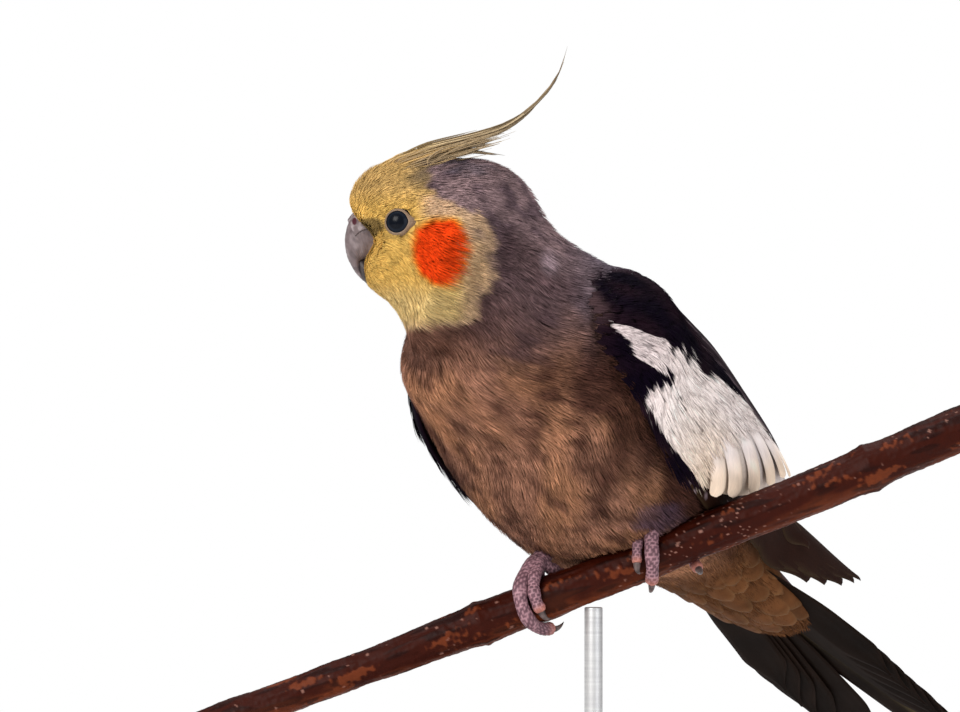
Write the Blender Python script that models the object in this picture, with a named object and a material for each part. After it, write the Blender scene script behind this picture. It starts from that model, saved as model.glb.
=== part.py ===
"""A male cockatiel gripping a cut length of branch, on a plain display stand.

World axes: +Z up, +X to the right and +Y away from the side that the bird shows.
The origin is the centre of the stand's underside. The body is one loft from the
bill to the tail coverts, parted into head, neck and trunk by thin cuts, and the
wings, cere and eyes are fitted to that same loft.
"""

import math
from collections import namedtuple

import bmesh
import bpy
from mathutils import Matrix, Vector

MM = 0.001

# The perch and the stand, in mm. The perch point is on the branch's axis, between the feet.
PERCH_POINT = Vector((-4.0, -12.0, 82.0))
BRANCH_TILT = math.radians(21.5)
BRANCH_BEND = math.radians(3.6)
BRANCH_LEFT, BRANCH_RIGHT = 116.0, 110.0
BRANCH_RADIUS = 5.55
BASE_RADIUS, BASE_HEIGHT = 58.0, 6.0
ROD_RADIUS = 2.4
ROD_ALONG = -1.0
CUP_RADIUS, CUP_HEIGHT = 4.6, 7.0

# The gap between touching pieces, and the points round the body and round the branch.
GAP = 0.3
BODY_POINTS = 24
BRANCH_POINTS = 12

Frame = namedtuple("Frame", "origin forward left up")
Station = namedtuple("Station", "frame dorsal ventral half_width")
Section = namedtuple("Section", "dorsal ventral left")


def frame_at(origin, heading, pitch, roll=0.0):
    """Axes of a body part. Heading 90 is -X and 0 is -Y; pitch lifts the front, roll the left side."""
    turn, lift, lean = (math.radians(a) for a in (heading, pitch, roll))
    level = Vector((-math.sin(turn), -math.cos(turn), 0.0))
    left = Vector((math.cos(turn), -math.sin(turn), 0.0))
    forward = level * math.cos(lift) + Vector((0, 0, math.sin(lift)))
    up = Vector((0, 0, math.cos(lift))) - level * math.sin(lift)
    return Frame(
        Vector(origin),
        forward,
        left * math.cos(lean) + up * math.sin(lean),
        up * math.cos(lean) - left * math.sin(lean),
    )


def place(frame, along, up, left=0.0):
    """A point of a frame, in mm from the perch point."""
    return frame.origin + frame.forward * along + frame.up * up + frame.left * left


# Where the parts of the body are and how they are turned, in mm from the perch point.
HEAD = frame_at((-52.5, -42.0, 93.6), heading=88, pitch=0)
NECK = frame_at((-32.0, -27.0, 78.0), heading=64, pitch=0)
NAPE = frame_at((-31.0, -24.0, 78.0), heading=50, pitch=0)
TRUNK = frame_at((8.0, 25.0, 27.0), heading=35, pitch=32, roll=9)
TAIL = frame_at(place(TRUNK, -42, 0), heading=35, pitch=24, roll=9)

# The outline of the body: (forward, up) of its upper and lower lines, and its half width.
BODY = [
    Station(HEAD, (12.2, 3.0), (8.4, -9.0), 4.4),
    Station(HEAD, (12.0, 7.6), (8.0, -15.6), 8.4),
    Station(HEAD, (8.8, 13.2), (5.4, -18.4), 11.4),
    Station(HEAD, (2.0, 16.0), (2.2, -20.8), 13.4),
    Station(HEAD, (-6.0, 16.8), (-0.4, -24.2), 15.4),
    Station(HEAD, (-15.0, 16.8), (-2.2, -28.0), 17.4),
    Station(HEAD, (-25.0, 15.8), (-3.4, -32.5), 19.6),
    Station(NECK, (-15.0, 25.2), (17.0, -21.5), 23.0),
    Station(NAPE, (-21.0, 14.0), (15.4, -31.5), 28.5),
    Station(TRUNK, (50.0, 36.5), (56.5, -29.5), 33.5),
    Station(TRUNK, (37.0, 34.0), (39.0, -34.5), 33.8),
    Station(TRUNK, (18.0, 33.5), (17.0, -34.4), 34.5),
    Station(TRUNK, (-3.0, 30.5), (-5.5, -29.2), 33.0),
    Station(TRUNK, (-23.0, 24.0), (-25.0, -17.8), 26.5),
    Station(TRUNK, (-42.0, 15.5), (-42.0, -11.0), 18.0),
    Station(TAIL, (-12.0, 10.5), (-14.0, -9.0), 15.0),
    Station(TAIL, (-30.0, 5.5), (-34.0, -6.5), 13.0),
    Station(TAIL, (-50.0, 2.2), (-52.0, -2.6), 9.0),
]
# Where the cuts between head, neck, trunk and tail lie, counted in stations.
HEAD_END, NECK_END, TRUNK_END, COVERTS_END = 6.0, 8.4, 14.0, 17.0

# The wings lie on the trunk and, behind it, on this narrowing bed over the tail.
WING_BED = BODY[:13] + [
    Station(TRUNK, (-23.0, 26.5), (-25.0, -17.0), 29.5),
    Station(TRUNK, (-42.0, 20.5), (-42.0, -11.0), 25.0),
    Station(TAIL, (-14.0, 18.5), (-16.0, -8.5), 24.0),
    Station(TAIL, (-34.0, 18.5), (-36.0, -6.0), 21.5),
    Station(TAIL, (-58.0, 20.0), (-58.0, -3.6), 18.5),
]

Finish = namedtuple("Finish", "colour roughness metallic")
FINISHES = {
    "yellow_face": Finish((0.80, 0.55, 0.16), 0.85, 0.0),
    "grey_plumage": Finish((0.17, 0.12, 0.10), 0.9, 0.0),
    "dark_wing": Finish((0.05, 0.035, 0.045), 0.8, 0.0),
    "dark_tail": Finish((0.03, 0.02, 0.018), 0.7, 0.0),
    "crest": Finish((0.50, 0.40, 0.20), 0.8, 0.0),
    "horn": Finish((0.27, 0.23, 0.24), 0.4, 0.0),
    "eye": Finish((0.01, 0.012, 0.02), 0.05, 0.0),
    "scaly_skin": Finish((0.36, 0.22, 0.26), 0.6, 0.0),
    "bark": Finish((0.13, 0.04, 0.02), 0.45, 0.0),
    "stand_metal": Finish((0.62, 0.62, 0.62), 0.4, 0.6),
}


def material(name):
    """The material of that finish, made once."""
    made = bpy.data.materials.get(name)
    if made:
        return made
    finish = FINISHES[name]
    made = bpy.data.materials.new(name)
    made.use_nodes = True
    shader = made.node_tree.nodes["Principled BSDF"]
    shader.inputs["Base Color"].default_value = (*finish.colour, 1.0)
    shader.inputs["Roughness"].default_value = finish.roughness
    shader.inputs["Metallic"].default_value = finish.metallic
    return made


def to_world(point):
    """From mm about the perch point to metres about the stand's underside."""
    return (PERCH_POINT + Vector(point)) * MM


def add_object(name, points, faces, finish):
    """One named object from points in mm about the perch point."""
    mesh = bpy.data.meshes.new(name)
    mesh.from_pydata([to_world(p) for p in points], [], faces)
    mesh.materials.append(material(finish))
    shape = bmesh.new()
    shape.from_mesh(mesh)
    bmesh.ops.recalc_face_normals(shape, faces=shape.faces)
    shape.to_mesh(mesh)
    shape.free()
    mesh.shade_smooth()
    made = bpy.data.objects.new(name, mesh)
    bpy.context.scene.collection.objects.link(made)
    return made


def catmull(a, b, c, d, t):
    """The smooth curve from b to c, with a and d beside them."""
    return 0.5 * (
        b * 2.0 + (c - a) * t + (a * 2.0 - b * 5.0 + c * 4.0 - d) * t * t
        + (b * 3.0 - a - c * 3.0 + d) * t * t * t
    )


def along_list(values, t):
    """The smooth curve through values, at the place t counted in list steps."""
    last = len(values) - 1
    i = max(0, min(last - 1, int(t)))
    near = [values[max(0, min(last, k))] for k in (i - 1, i, i + 1, i + 2)]
    return catmull(*near, t - i)


def section_at(stations, t):
    """The section at station number t: its upper and lower points, and its half width to the left."""
    ends = [
        Section(
            place(s.frame, *s.dorsal), place(s.frame, *s.ventral), s.frame.left * s.half_width
        )
        for s in stations
    ]
    return Section(*(along_list([e[k] for e in ends], t) for k in range(3)))


def ring_point(section, angle):
    """A point of the section's ellipse. Angle 0 is the back's midline, going round by the left side."""
    middle = (section.dorsal + section.ventral) / 2
    half = (section.dorsal - section.ventral) / 2
    return middle + half * math.cos(angle) + section.left * math.sin(angle)


def ring_normal(section, angle):
    """The direction out of the ellipse, in the section's plane."""
    half = (section.dorsal - section.ventral) / 2
    tall, wide = half.length, section.left.length
    out = half.normalized() * (math.cos(angle) / tall) + section.left.normalized() * (
        math.sin(angle) / wide
    )
    return out.normalized()


def tube(rings):
    """Points and faces of a closed tube: the rings joined in turn, each end fanned to its centre."""
    points = [p for ring in rings for p in ring]
    n = len(rings[0])
    faces = []
    for r in range(len(rings) - 1):
        for k in range(n):
            a, b = r * n + k, r * n + (k + 1) % n
            faces.append((a, b, b + n, a + n))
    for ring, first in ((rings[0], 0), (rings[-1], (len(rings) - 1) * n)):
        centre = len(points)
        points.append(sum(ring, Vector()) / n)
        for k in range(n):
            faces.append((first + k, first + (k + 1) % n, centre))
    return points, faces


def steps(first, last, count):
    """Evenly spaced values, both ends included."""
    return [first + (last - first) * i / (count - 1) for i in range(count)]


def body_rings(stations, first, last, count):
    """Rings of the loft between two station numbers."""
    rings = []
    for t in steps(first, last, count):
        section = section_at(stations, t)
        turns = (math.tau * k / BODY_POINTS for k in range(BODY_POINTS))
        rings.append([ring_point(section, turn) for turn in turns])
    return rings


def nudge(stations, t, distance):
    """The station number that lies that many mm further back along the body's middle."""
    step = 0.01
    here, on = section_at(stations, t), section_at(stations, t + step)
    gone = ((on.dorsal + on.ventral) / 2 - (here.dorsal + here.ventral) / 2).length
    return t + step * distance / gone


def cut_from(target, cutter):
    """Cuts a hidden shape out of the target."""
    cutter.hide_render = True
    cutter.display_type = "WIRE"
    change = target.modifiers.new(cutter.name, "BOOLEAN")
    change.operation = "DIFFERENCE"
    change.solver = "EXACT"
    change.object = cutter


def join_to(target, others, solver="EXACT"):
    """Unites the other shapes with the target, leaving one solid.

    Thin feathers that cross at small angles need the manifold solver.
    """
    for other in others:
        other.hide_render = True
        other.display_type = "WIRE"
        change = target.modifiers.new(other.name, "BOOLEAN")
        change.operation = "UNION"
        change.solver = solver
        change.object = other


def swept(path, widths, heights, side, count):
    """Rings of ellipses along a path: half widths along the side direction, half heights across it."""
    rings = []
    for i, point in enumerate(path):
        run = (path[min(i + 1, len(path) - 1)] - path[max(i - 1, 0)]).normalized()
        across = (side - run * side.dot(run)).normalized()
        up = across.cross(run)
        rings.append(
            [
                point
                + across * widths[i] * math.cos(math.tau * k / count)
                + up * heights[i] * math.sin(math.tau * k / count)
                for k in range(count)
            ]
        )
    return rings


# The bill: (forward, up) of the ridge and of the cutting edge, and the half width, in the head's frame.
UPPER_BILL = [
    ((2.0, 2.0), (2.0, -9.0), 5.0),
    ((8.6, 3.3), (6.2, -9.6), 5.2),
    ((12.2, 0.8), (8.2, -9.8), 4.9),
    ((13.6, -4.2), (9.2, -10.3), 4.1),
    ((12.8, -9.2), (9.3, -11.6), 2.8),
    ((10.9, -12.8), (8.9, -13.4), 1.6),
    ((8.8, -15.1), (8.1, -15.2), 0.6),
]
LOWER_BILL = [
    ((0.5, -11.4), (0.5, -16.4), 3.4),
    ((4.6, -11.0), (4.2, -17.0), 3.5),
    ((7.7, -11.4), (6.8, -16.2), 2.9),
    ((8.5, -12.6), (8.0, -15.0), 1.6),
]
CERE_SPAN = (1.05, 2.1)
CERE_HALF_ANGLE = math.radians(78)
CERE_GAP, CERE_DEPTH = 0.35, 0.5
UPPER_SOCKET, LOWER_SOCKET = 1.3, 0.8
SHELL_COLUMNS = 9


def bill_stations(rows, room=0.0):
    """The bill's stations, or those of its socket, which is larger all round by the room."""
    stations = []
    for number, (upper, lower, half_width) in enumerate(rows):
        on = {0: -room, len(rows) - 1: room}.get(number, 0.0)
        stations.append(
            Station(
                HEAD,
                (upper[0] + on + room / 2, upper[1] + room),
                (lower[0] + on - room / 3, lower[1] - room),
                half_width + room,
            )
        )
    return stations


def bill_rings(rows, room, count, around):
    stations = bill_stations(rows, room)
    rings = []
    for t in steps(0, len(rows) - 1, count):
        section = section_at(stations, t)
        rings.append([ring_point(section, math.tau * k / around) for k in range(around)])
    return rings


def shell(stations, lengths, angles, inner, outer):
    """A closed patch over a loft.

    angles(t) gives its two edges. inner and outer give its height over the loft.
    """
    rows, columns = len(lengths), SHELL_COLUMNS
    points = []
    for height in (inner, outer):
        for i, t in enumerate(lengths):
            section = section_at(stations, t)
            low, high = angles(t)
            for k in range(columns):
                share = k / (columns - 1)
                angle = low + (high - low) * share
                rise = height(i / (rows - 1), share)
                points.append(ring_point(section, angle) + ring_normal(section, angle) * rise)
    faces = []
    size = rows * columns
    for i in range(rows - 1):
        for k in range(columns - 1):
            a = i * columns + k
            quad = (a, a + 1, a + columns + 1, a + columns)
            faces.append(quad)
            faces.append(tuple(q + size for q in quad))
    border = [i * columns for i in range(rows)]
    border += [(rows - 1) * columns + k for k in range(1, columns)]
    border += [i * columns + columns - 1 for i in range(rows - 2, -1, -1)]
    border += list(range(columns - 2, 0, -1))
    for a, b in zip(border, border[1:] + border[:1]):
        faces.append((a, b, b + size, a + size))
    return points, faces


def make_body():
    """Head, neck and trunk, parted by thin cuts across the one loft."""
    head = add_object("head", *tube(body_rings(BODY, 0.0, HEAD_END, 16)), "yellow_face")
    start = nudge(BODY, HEAD_END, GAP * 4)
    add_object("neck", *tube(body_rings(BODY, start, NECK_END, 7)), "grey_plumage")
    start = nudge(BODY, NECK_END, GAP * 2)
    trunk = add_object("trunk", *tube(body_rings(BODY, start, TRUNK_END, 15)), "grey_plumage")
    return head, trunk


EYE_FORWARD, EYE_UP, EYE_OUT, EYE_RADIUS = -0.9, -0.3, 11.2, 4.1


def ball_mesh(centre, radius, bands=7, around=12):
    """A ball with its poles to the bird's left and right."""
    poles = [centre + HEAD.left * radius * side for side in (1, -1)]
    rings = []
    for lean in steps(0, math.pi, bands + 1)[1:-1]:
        middle, size = centre + HEAD.left * radius * math.cos(lean), radius * math.sin(lean)
        turns = (math.tau * k / around for k in range(around))
        rings.append(
            [middle + (HEAD.forward * math.cos(a) + HEAD.up * math.sin(a)) * size for a in turns]
        )
    points, faces = tube(rings)
    return points[:-2] + poles, faces


def make_eyes(head):
    """The eyeballs and the sockets that hold them."""
    for name, side in (("left_eye", 1), ("right_eye", -1)):
        for label, radius in ((name, EYE_RADIUS), (name + "_socket", EYE_RADIUS + GAP)):
            centre = place(HEAD, EYE_FORWARD, EYE_UP, side * EYE_OUT)
            ball = add_object(label, *ball_mesh(centre, radius), "eye")
            if radius > EYE_RADIUS:
                cut_from(head, ball)


def make_bill(head):
    """The hooked upper bill, the lower bill behind it, and the cere over the upper bill's root."""
    for name, rows, room, count, around in (
        ("upper_bill", UPPER_BILL, UPPER_SOCKET, 11, 12),
        ("lower_bill", LOWER_BILL, LOWER_SOCKET, 6, 10),
    ):
        add_object(name, *tube(bill_rings(rows, 0.0, count, around)), "horn")
        socket = tube(bill_rings(rows, room, count, around))
        cut_from(head, add_object(f"{name}_socket", *socket, "horn"))
    stations = bill_stations(UPPER_BILL)
    points, faces = shell(
        stations,
        steps(*CERE_SPAN, 6),
        lambda t: (-CERE_HALF_ANGLE, CERE_HALF_ANGLE),
        lambda i, k: CERE_GAP,
        lambda i, k: CERE_GAP + CERE_DEPTH,
    )
    add_object("cere", points, faces, "horn")


# Crest feathers: the root, the points it bends through and the tip, as (forward, up),
# then how far it lies to the left and its half width.
CREST = [
    ((6.2, 16.2), (-8.0, 20.1), (-29.0, 26.0), (-40.4, 36.2), (-44.2, 45.6), 0.0, 2.6),
    ((4.6, 16.6), (-9.0, 19.7), (-27.0, 24.6), (-38.4, 33.4), (-43.2, 41.5), 1.6, 2.2),
    ((4.0, 16.9), (-9.0, 19.4), (-24.0, 22.6), (-33.0, 27.6), (-38.0, 33.0), -1.8, 2.2),
    ((2.0, 17.1), (-8.0, 18.7), (-15.0, 19.4), (-20.0, 19.9), (-25.0, 20.4), 3.0, 2.6),
    ((-1.0, 17.6), (-10.0, 18.5), (-17.0, 18.4), (-23.0, 18.0), (-28.0, 17.3), 1.0, 2.6),
    ((0.0, 17.5), (-9.0, 18.6), (-15.0, 19.0), (-19.0, 19.1), (-22.0, 19.1), -3.2, 2.6),
]
CREST_THICKNESS = 0.5
CREST_TIP_HALF_WIDTH = 0.3


def make_crest():
    """The swept-back crest: long narrow feathers from one root on the crown."""
    feathers = []
    for number, (*curve, offset, half_width) in enumerate(CREST):
        last = len(curve) - 1
        bends = [place(HEAD, u, w, offset * (0.4 + 0.6 * i / last)) for i, (u, w) in enumerate(curve)]
        path, widths, heights = [], [], []
        for share in steps(0, 1, 9):
            path.append(along_list(bends, share * last))
            taper = (1 - share**1.3) * min(1, 0.75 + share)
            widths.append(max(CREST_TIP_HALF_WIDTH, half_width * taper))
            heights.append(CREST_THICKNESS * (1.5 - share) * (1 + 0.02 * number))
        name = "crest" if number == 0 else f"crest_feather_{number}"
        rings = swept(path, widths, heights, HEAD.left, 6)
        feathers.append(add_object(name, *tube(rings), "crest"))
    join_to(feathers[0], feathers[1:], "MANIFOLD")


# The wing's spans in station numbers along its bed, and its heights over that bed in mm.
ARM_FRONT, ARM_BACK = 8.5, 13.4
ARM_CLEARANCE, ARM_LIFT = 0.9, 1.5
ARM_THICKNESS, COVERTS_SWELL = 0.9, 4.0
TIP_FRONT, TIP_BACK = 10.2, 17.0
TIP_CLEARANCE = 0.75
TIP_ROOT_THICKNESS, TIP_END_THICKNESS = 1.2, 0.7
RIGHT_WING_DROOP = math.radians(-4)


def smooth(share):
    share = max(0.0, min(1.0, share))
    return share * share * (3 - 2 * share)


def arm_edges(t):
    """The folded arm's upper and lower edge, as angles from the back's midline."""
    upper = 16 + 56 * math.exp(ARM_FRONT - t)
    lower = 118 - 22 * math.exp((ARM_FRONT - t) / 0.45) - 30 * smooth((t - 11) / 2.6)
    return math.radians(upper), math.radians(lower)


def tip_edges(t):
    """The flight feathers, showing below the arm and narrowing to the wing's tip over the tail."""
    upper = 40 + 2 * (t - TIP_FRONT)
    lower = 116 + 7 * smooth((t - 12.5) / 1.5) - 51 * smooth((t - 14.6) / 3.0)
    return math.radians(upper), math.radians(lower)


def make_wings():
    """Each wing is an arm with its coverts over a blade of flight feathers."""

    def arm_low(i, k):
        return ARM_CLEARANCE + ARM_LIFT * smooth(i * 3)

    def arm_high(i, k):
        rounding = math.sin(math.pi * (0.03 + 0.88 * k)) ** 0.6
        along = (0.5 + 0.5 * smooth(i * 4)) * (1 - 0.3 * smooth(i * 1.1))
        return arm_low(i, k) + ARM_THICKNESS + COVERTS_SWELL * rounding * along

    def tip_low(i, k):
        return TIP_CLEARANCE

    def tip_high(i, k):
        return TIP_CLEARANCE + TIP_ROOT_THICKNESS + (TIP_END_THICKNESS - TIP_ROOT_THICKNESS) * i

    for name, side, droop in (("left", 1, 0.0), ("right", -1, RIGHT_WING_DROOP)):
        for part, span, edges, low, high in (
            ("wing", (ARM_FRONT, ARM_BACK, 13), arm_edges, arm_low, arm_high),
            ("wing_tip", (TIP_FRONT, TIP_BACK, 13), tip_edges, tip_low, tip_high),
        ):
            points, faces = shell(
                WING_BED,
                steps(*span),
                lambda t, edges=edges: tuple(side * (a + droop) for a in edges(t)),
                low,
                high,
            )
            add_object(f"{name}_{part}", points, faces, "dark_wing")


# Tail feathers, middle pair first: length, then how far each lies to the left at its root and at its tip.
TAIL_FEATHERS = [
    (150, (1.5, 10.0), (-1.5, 6.2)),
    (136, (4.0, 11.0), (-2.4, -15.2)),
    (122, (6.0, 11.5), (-3.6, -22.4)),
    (109, (8.0, 12.5), (-4.8, -22.6)),
    (97, (9.6, 13.5), (-5.8, -21.4)),
    (85, (11.0, 14.5), (-6.4, -19.8)),
]
TAIL_HALF_WIDTH = 6.2
TAIL_HALF_DEPTH = 0.7
TAIL_LAYER = 0.23
TAIL_SAG = 2.5
TAIL_ROOT, TAIL_RISE = 4.0, 1.2


def make_tail():
    """The graduated tail: six pairs of feathers, the middle pair longest, over a cone of coverts."""
    start = nudge(BODY, TRUNK_END, GAP * 2)
    cone = add_object("tail", *tube(body_rings(BODY, start, COVERTS_END, 7)), "dark_tail")
    feathers = []
    for pair, (length, *spreads) in enumerate(TAIL_FEATHERS):
        for side, (root, tip) in zip(("left", "right"), spreads):
            path, widths = [], []
            layer = TAIL_LAYER * (2 * pair + (side == "right"))
            for share in steps(0, 1, 6):
                back = TAIL_ROOT + (length - TAIL_ROOT) * share
                drop = layer + TAIL_SAG * share * share
                across = root + (tip - root) * share**1.25
                path.append(place(TAIL, -back, TAIL_RISE - drop, across))
                narrow = 1 - smooth((share - 0.74) / 0.26) * 0.86
                widths.append(TAIL_HALF_WIDTH * (0.5 + 0.5 * smooth(share * 2)) * narrow)
            heights = [TAIL_HALF_DEPTH] * len(path)
            name = f"tail_feather_{pair}_{side}"
            rings = swept(path, widths, heights, TAIL.left, 4)
            feathers.append(add_object(name, *tube(rings), "dark_tail"))
    join_to(cone, feathers, "MANIFOLD")


# Old leaf scars on the branch: where they are along it, how long and how high.
LEAF_SCARS = ((-33.0, 3.2, 0.45), (78.0, 3.4, 0.5))
THIN_END, THICK_END = -1.1, 0.3


def branch_centre(along):
    """The branch's axis, a shallow arc, at a distance along it from the perch point."""
    reach = (BRANCH_LEFT + BRANCH_RIGHT) / 2
    turn = BRANCH_TILT + BRANCH_BEND * along / reach / 4
    return Vector((math.cos(turn) * along, 0.0, math.sin(turn) * along))


def branch_radius(along):
    """Thinner to the left, with the leaf scars as slight swellings."""
    taper = THIN_END * smooth((-along - 18) / 60) + THICK_END * smooth((along - 20) / 50)
    scars = sum(high * math.exp(-(((along - at) / long) ** 2)) for at, long, high in LEAF_SCARS)
    return BRANCH_RADIUS + taper + scars


def branch_axes(along):
    """The directions along the branch, to its top and to its front."""
    run = (branch_centre(along + 0.5) - branch_centre(along - 0.5)).normalized()
    front = Vector((0.0, -1.0, 0.0))
    return run, front.cross(run).normalized(), front


def branch_rings(lengths, radius_at):
    rings = []
    for along in lengths:
        run, top, front = branch_axes(along)
        radius, centre = radius_at(along), branch_centre(along)
        turns = (math.tau * k / BRANCH_POINTS for k in range(BRANCH_POINTS))
        rings.append(
            [centre + (top * math.cos(a) + front * math.sin(a)) * radius for a in turns]
        )
    return rings


# The hollow in the belly over the branch, in mm along the branch and out from its bark.
GROOVE_SPAN = (-28.0, 48.0)
GROOVE_ROOM, FOOT_ROOM, FOOT_REACH = 0.6, 6.0, 9.0
FOOT_PLACES = (18.0, -15.0)


def groove_radius(along):
    """Room for the branch in the belly, wider where a foot stands between them."""
    feet = sum(math.exp(-(((along - foot) / FOOT_REACH) ** 4)) for foot in FOOT_PLACES)
    return branch_radius(along) + GROOVE_ROOM + FOOT_ROOM * feet


def make_branch(trunk):
    """The cut length of branch, and its groove in the trunk."""
    lengths = steps(-BRANCH_LEFT, BRANCH_RIGHT, 20)
    add_object("perch_branch", *tube(branch_rings(lengths, branch_radius)), "bark")
    groove = branch_rings(steps(*GROOVE_SPAN, 16), groove_radius)
    cut_from(trunk, add_object("perch_groove", *tube(groove), "bark"))


def round_branch(along, angle, height):
    """A point that high over the bark, at an angle from the branch's top towards its front."""
    run, top, front = branch_axes(along)
    reach = branch_radius(along) + height
    turn = math.radians(angle)
    return branch_centre(along) + (top * math.cos(turn) + front * math.sin(turn)) * reach


# Toes as (along, angle) at root, middle and tip, with root and tip radius. Front angles are positive.
FEET = {
    "left": {
        "ankle": (20.5, -16, 4.2),
        "second_toe": ((18.6, -14), (13.8, 34), (11.6, 82), 1.55, 1.2),
        "third_toe": ((20.0, -14), (17.0, 62), (13.4, 134), 2.15, 1.6),
        "first_toe": ((20.5, -14), (19.0, -60), (18.0, -95), 1.7, 1.3),
        "fourth_toe": ((21.0, -14), (25.0, -80), (25.8, -160), 1.8, 1.4),
    },
    "right": {
        "ankle": (-13.0, -14, 4.2),
        "second_toe": ((-12.6, -12), (-17.9, 60), (-17.0, 100), 1.7, 1.5),
        "third_toe": ((-13.6, -12), (-26.9, 78), (-16.6, 174), 1.95, 1.6),
        "first_toe": ((-12.0, -12), (-8.5, -46), (-7.4, -76), 1.7, 1.3),
        "fourth_toe": ((-13.0, -12), (-15.5, -50), (-15.5, -88), 1.8, 1.4),
    },
}
TOE_CLEARANCE, TOE_LIFT, TOE_KNUCKLE = 0.45, 2.2, 0.10
ACROSS = Vector((1.0, 0.0, 0.3))
SHANK_TOP = {"left": (18.0, 12.0, 24.0), "right": (-9.0, 13.0, 13.0)}
SHANK_RADIUS = 2.4
SHANK_PATH = (-0.2, 0.2, 0.6, 1.0)
SOCKET_PATH = (-0.7, 0.3, 0.6, 1.05)
SOCKET_RADII = (7.0, 6.4, 4.0, 2.8)
CLAW_LENGTH, CLAW_RADIUS, CLAW_TIP_RADIUS = 5.6, 1.0, 0.26


def toe_path(root, middle, tip, first_radius, last_radius, count=7):
    """A toe's curve round the branch, and its thickness with the knuckles."""
    path, radii = [], []
    for share in steps(0, 1, count):
        early = [(1 - share) * a + share * b for a, b in zip(root, middle)]
        late = [(1 - share) * a + share * b for a, b in zip(middle, tip)]
        along, angle = [(1 - share) * a + share * b for a, b in zip(early, late)]
        knuckle = TOE_KNUCKLE * math.cos(share * math.tau * 3)
        radius = first_radius + (last_radius - first_radius) * share + knuckle
        lift = TOE_LIFT * max(0.0, 1 - 3 * share) ** 2
        path.append(round_branch(along, angle, radius + TOE_CLEARANCE + lift))
        radii.append(radius)
    return path, radii


def toe_mesh(path, radii):
    """A toe with a round end."""
    run = (path[-1] - path[-2]).normalized()
    path = path + [path[-1] + run * radii[-1] * 0.6, path[-1] + run * radii[-1] * 0.92]
    radii = radii + [radii[-1] * 0.8, radii[-1] * 0.35]
    return tube(swept(path, radii, radii, ACROSS, 7))


def claw_mesh(path, radii):
    """A curved claw ahead of the toe's end, bending on round the branch."""
    run = (path[-1] - path[-2]).normalized()
    turn = (path[-1] - path[-2]) - (path[-2] - path[-3])
    bend = turn.normalized()
    start = path[-1] + run * (radii[-1] * 0.92 + GAP)
    claw, sizes = [], []
    for share in steps(0, 1, 5):
        far = CLAW_LENGTH * share
        claw.append(start + run * far * (1 - 0.25 * share) + bend * far * 0.42 * share)
        sizes.append(max(CLAW_TIP_RADIUS, CLAW_RADIUS * (1 - share) ** 0.7))
    return tube(swept(claw, sizes, sizes, ACROSS, 6))


def make_feet(trunk):
    """The feet grip with two toes in front of the branch and two behind, under a shank from the belly."""
    for side, foot in FEET.items():
        ankle = round_branch(*foot["ankle"])
        knee = Vector(SHANK_TOP[side])
        path = [ankle + (knee - ankle) * share for share in SHANK_PATH]
        widths = [SHANK_RADIUS] * len(path)
        leg = add_object(f"{side}_leg", *tube(swept(path, widths, widths, ACROSS, 8)), "scaly_skin")
        path = [ankle + (knee - ankle) * share for share in SOCKET_PATH]
        socket = swept(path, SOCKET_RADII, SOCKET_RADII, ACROSS, 8)
        cut_from(trunk, add_object(f"{side}_leg_socket", *tube(socket), "scaly_skin"))
        toes = []
        for toe, values in foot.items():
            if toe == "ankle":
                continue
            path, radii = toe_path(*values)
            toes.append(add_object(f"{side}_{toe}", *toe_mesh(path, radii), "scaly_skin"))
            add_object(f"{side}_{toe}_claw", *claw_mesh(path, radii), "horn")
        join_to(leg, toes)


def make_stand():
    """A flat round base with one rod, in a cup, up to the branch's underside."""
    foot = branch_centre(ROD_ALONG)
    bark = BRANCH_RADIUS / math.cos(BRANCH_TILT)
    top = foot.z - bark - ROD_RADIUS * math.tan(BRANCH_TILT) - GAP
    floor = -PERCH_POINT.z

    def post(name, centre, low, high, radius, count, bevel):
        inner = radius - bevel
        levels = [(low, inner), (low + bevel, radius), (high - bevel, radius), (high, inner)]
        rings = [
            [
                Vector((centre[0] + r * math.cos(a), centre[1] + r * math.sin(a), z))
                for a in (math.tau * k / count for k in range(count))
            ]
            for z, r in levels
        ]
        add_object(name, *tube(rings), "stand_metal")

    base_centre = (-PERCH_POINT.x, -PERCH_POINT.y)
    post("stand_base", base_centre, floor, floor + BASE_HEIGHT, BASE_RADIUS, 36, 1.0)
    cup_low = floor + BASE_HEIGHT + GAP
    post("stand_cup", (foot.x, foot.y), cup_low, cup_low + CUP_HEIGHT, CUP_RADIUS, 12, 0.6)
    post("stand_rod", (foot.x, foot.y), cup_low + CUP_HEIGHT + GAP, top, ROD_RADIUS, 12, 0.3)


def main():
    for old in list(bpy.data.objects):
        bpy.data.objects.remove(old, do_unlink=True)
    head, trunk = make_body()
    make_eyes(head)
    make_bill(head)
    make_crest()
    make_wings()
    make_tail()
    make_branch(trunk)
    make_feet(trunk)
    make_stand()


main()
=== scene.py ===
"""The looks of a cockatiel on its perch.

One skin lies under the coat, and every feather over it is solid mesh that follows the
body: fine locks in feather-shaped clumps on head, body and wing coverts, and long vanes
on wings, tail and crest. Lengths are in mm about the perch point until a mesh is made.
"""

import math
from collections import namedtuple

import bpy
import numpy as np
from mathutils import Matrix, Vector, kdtree


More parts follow.
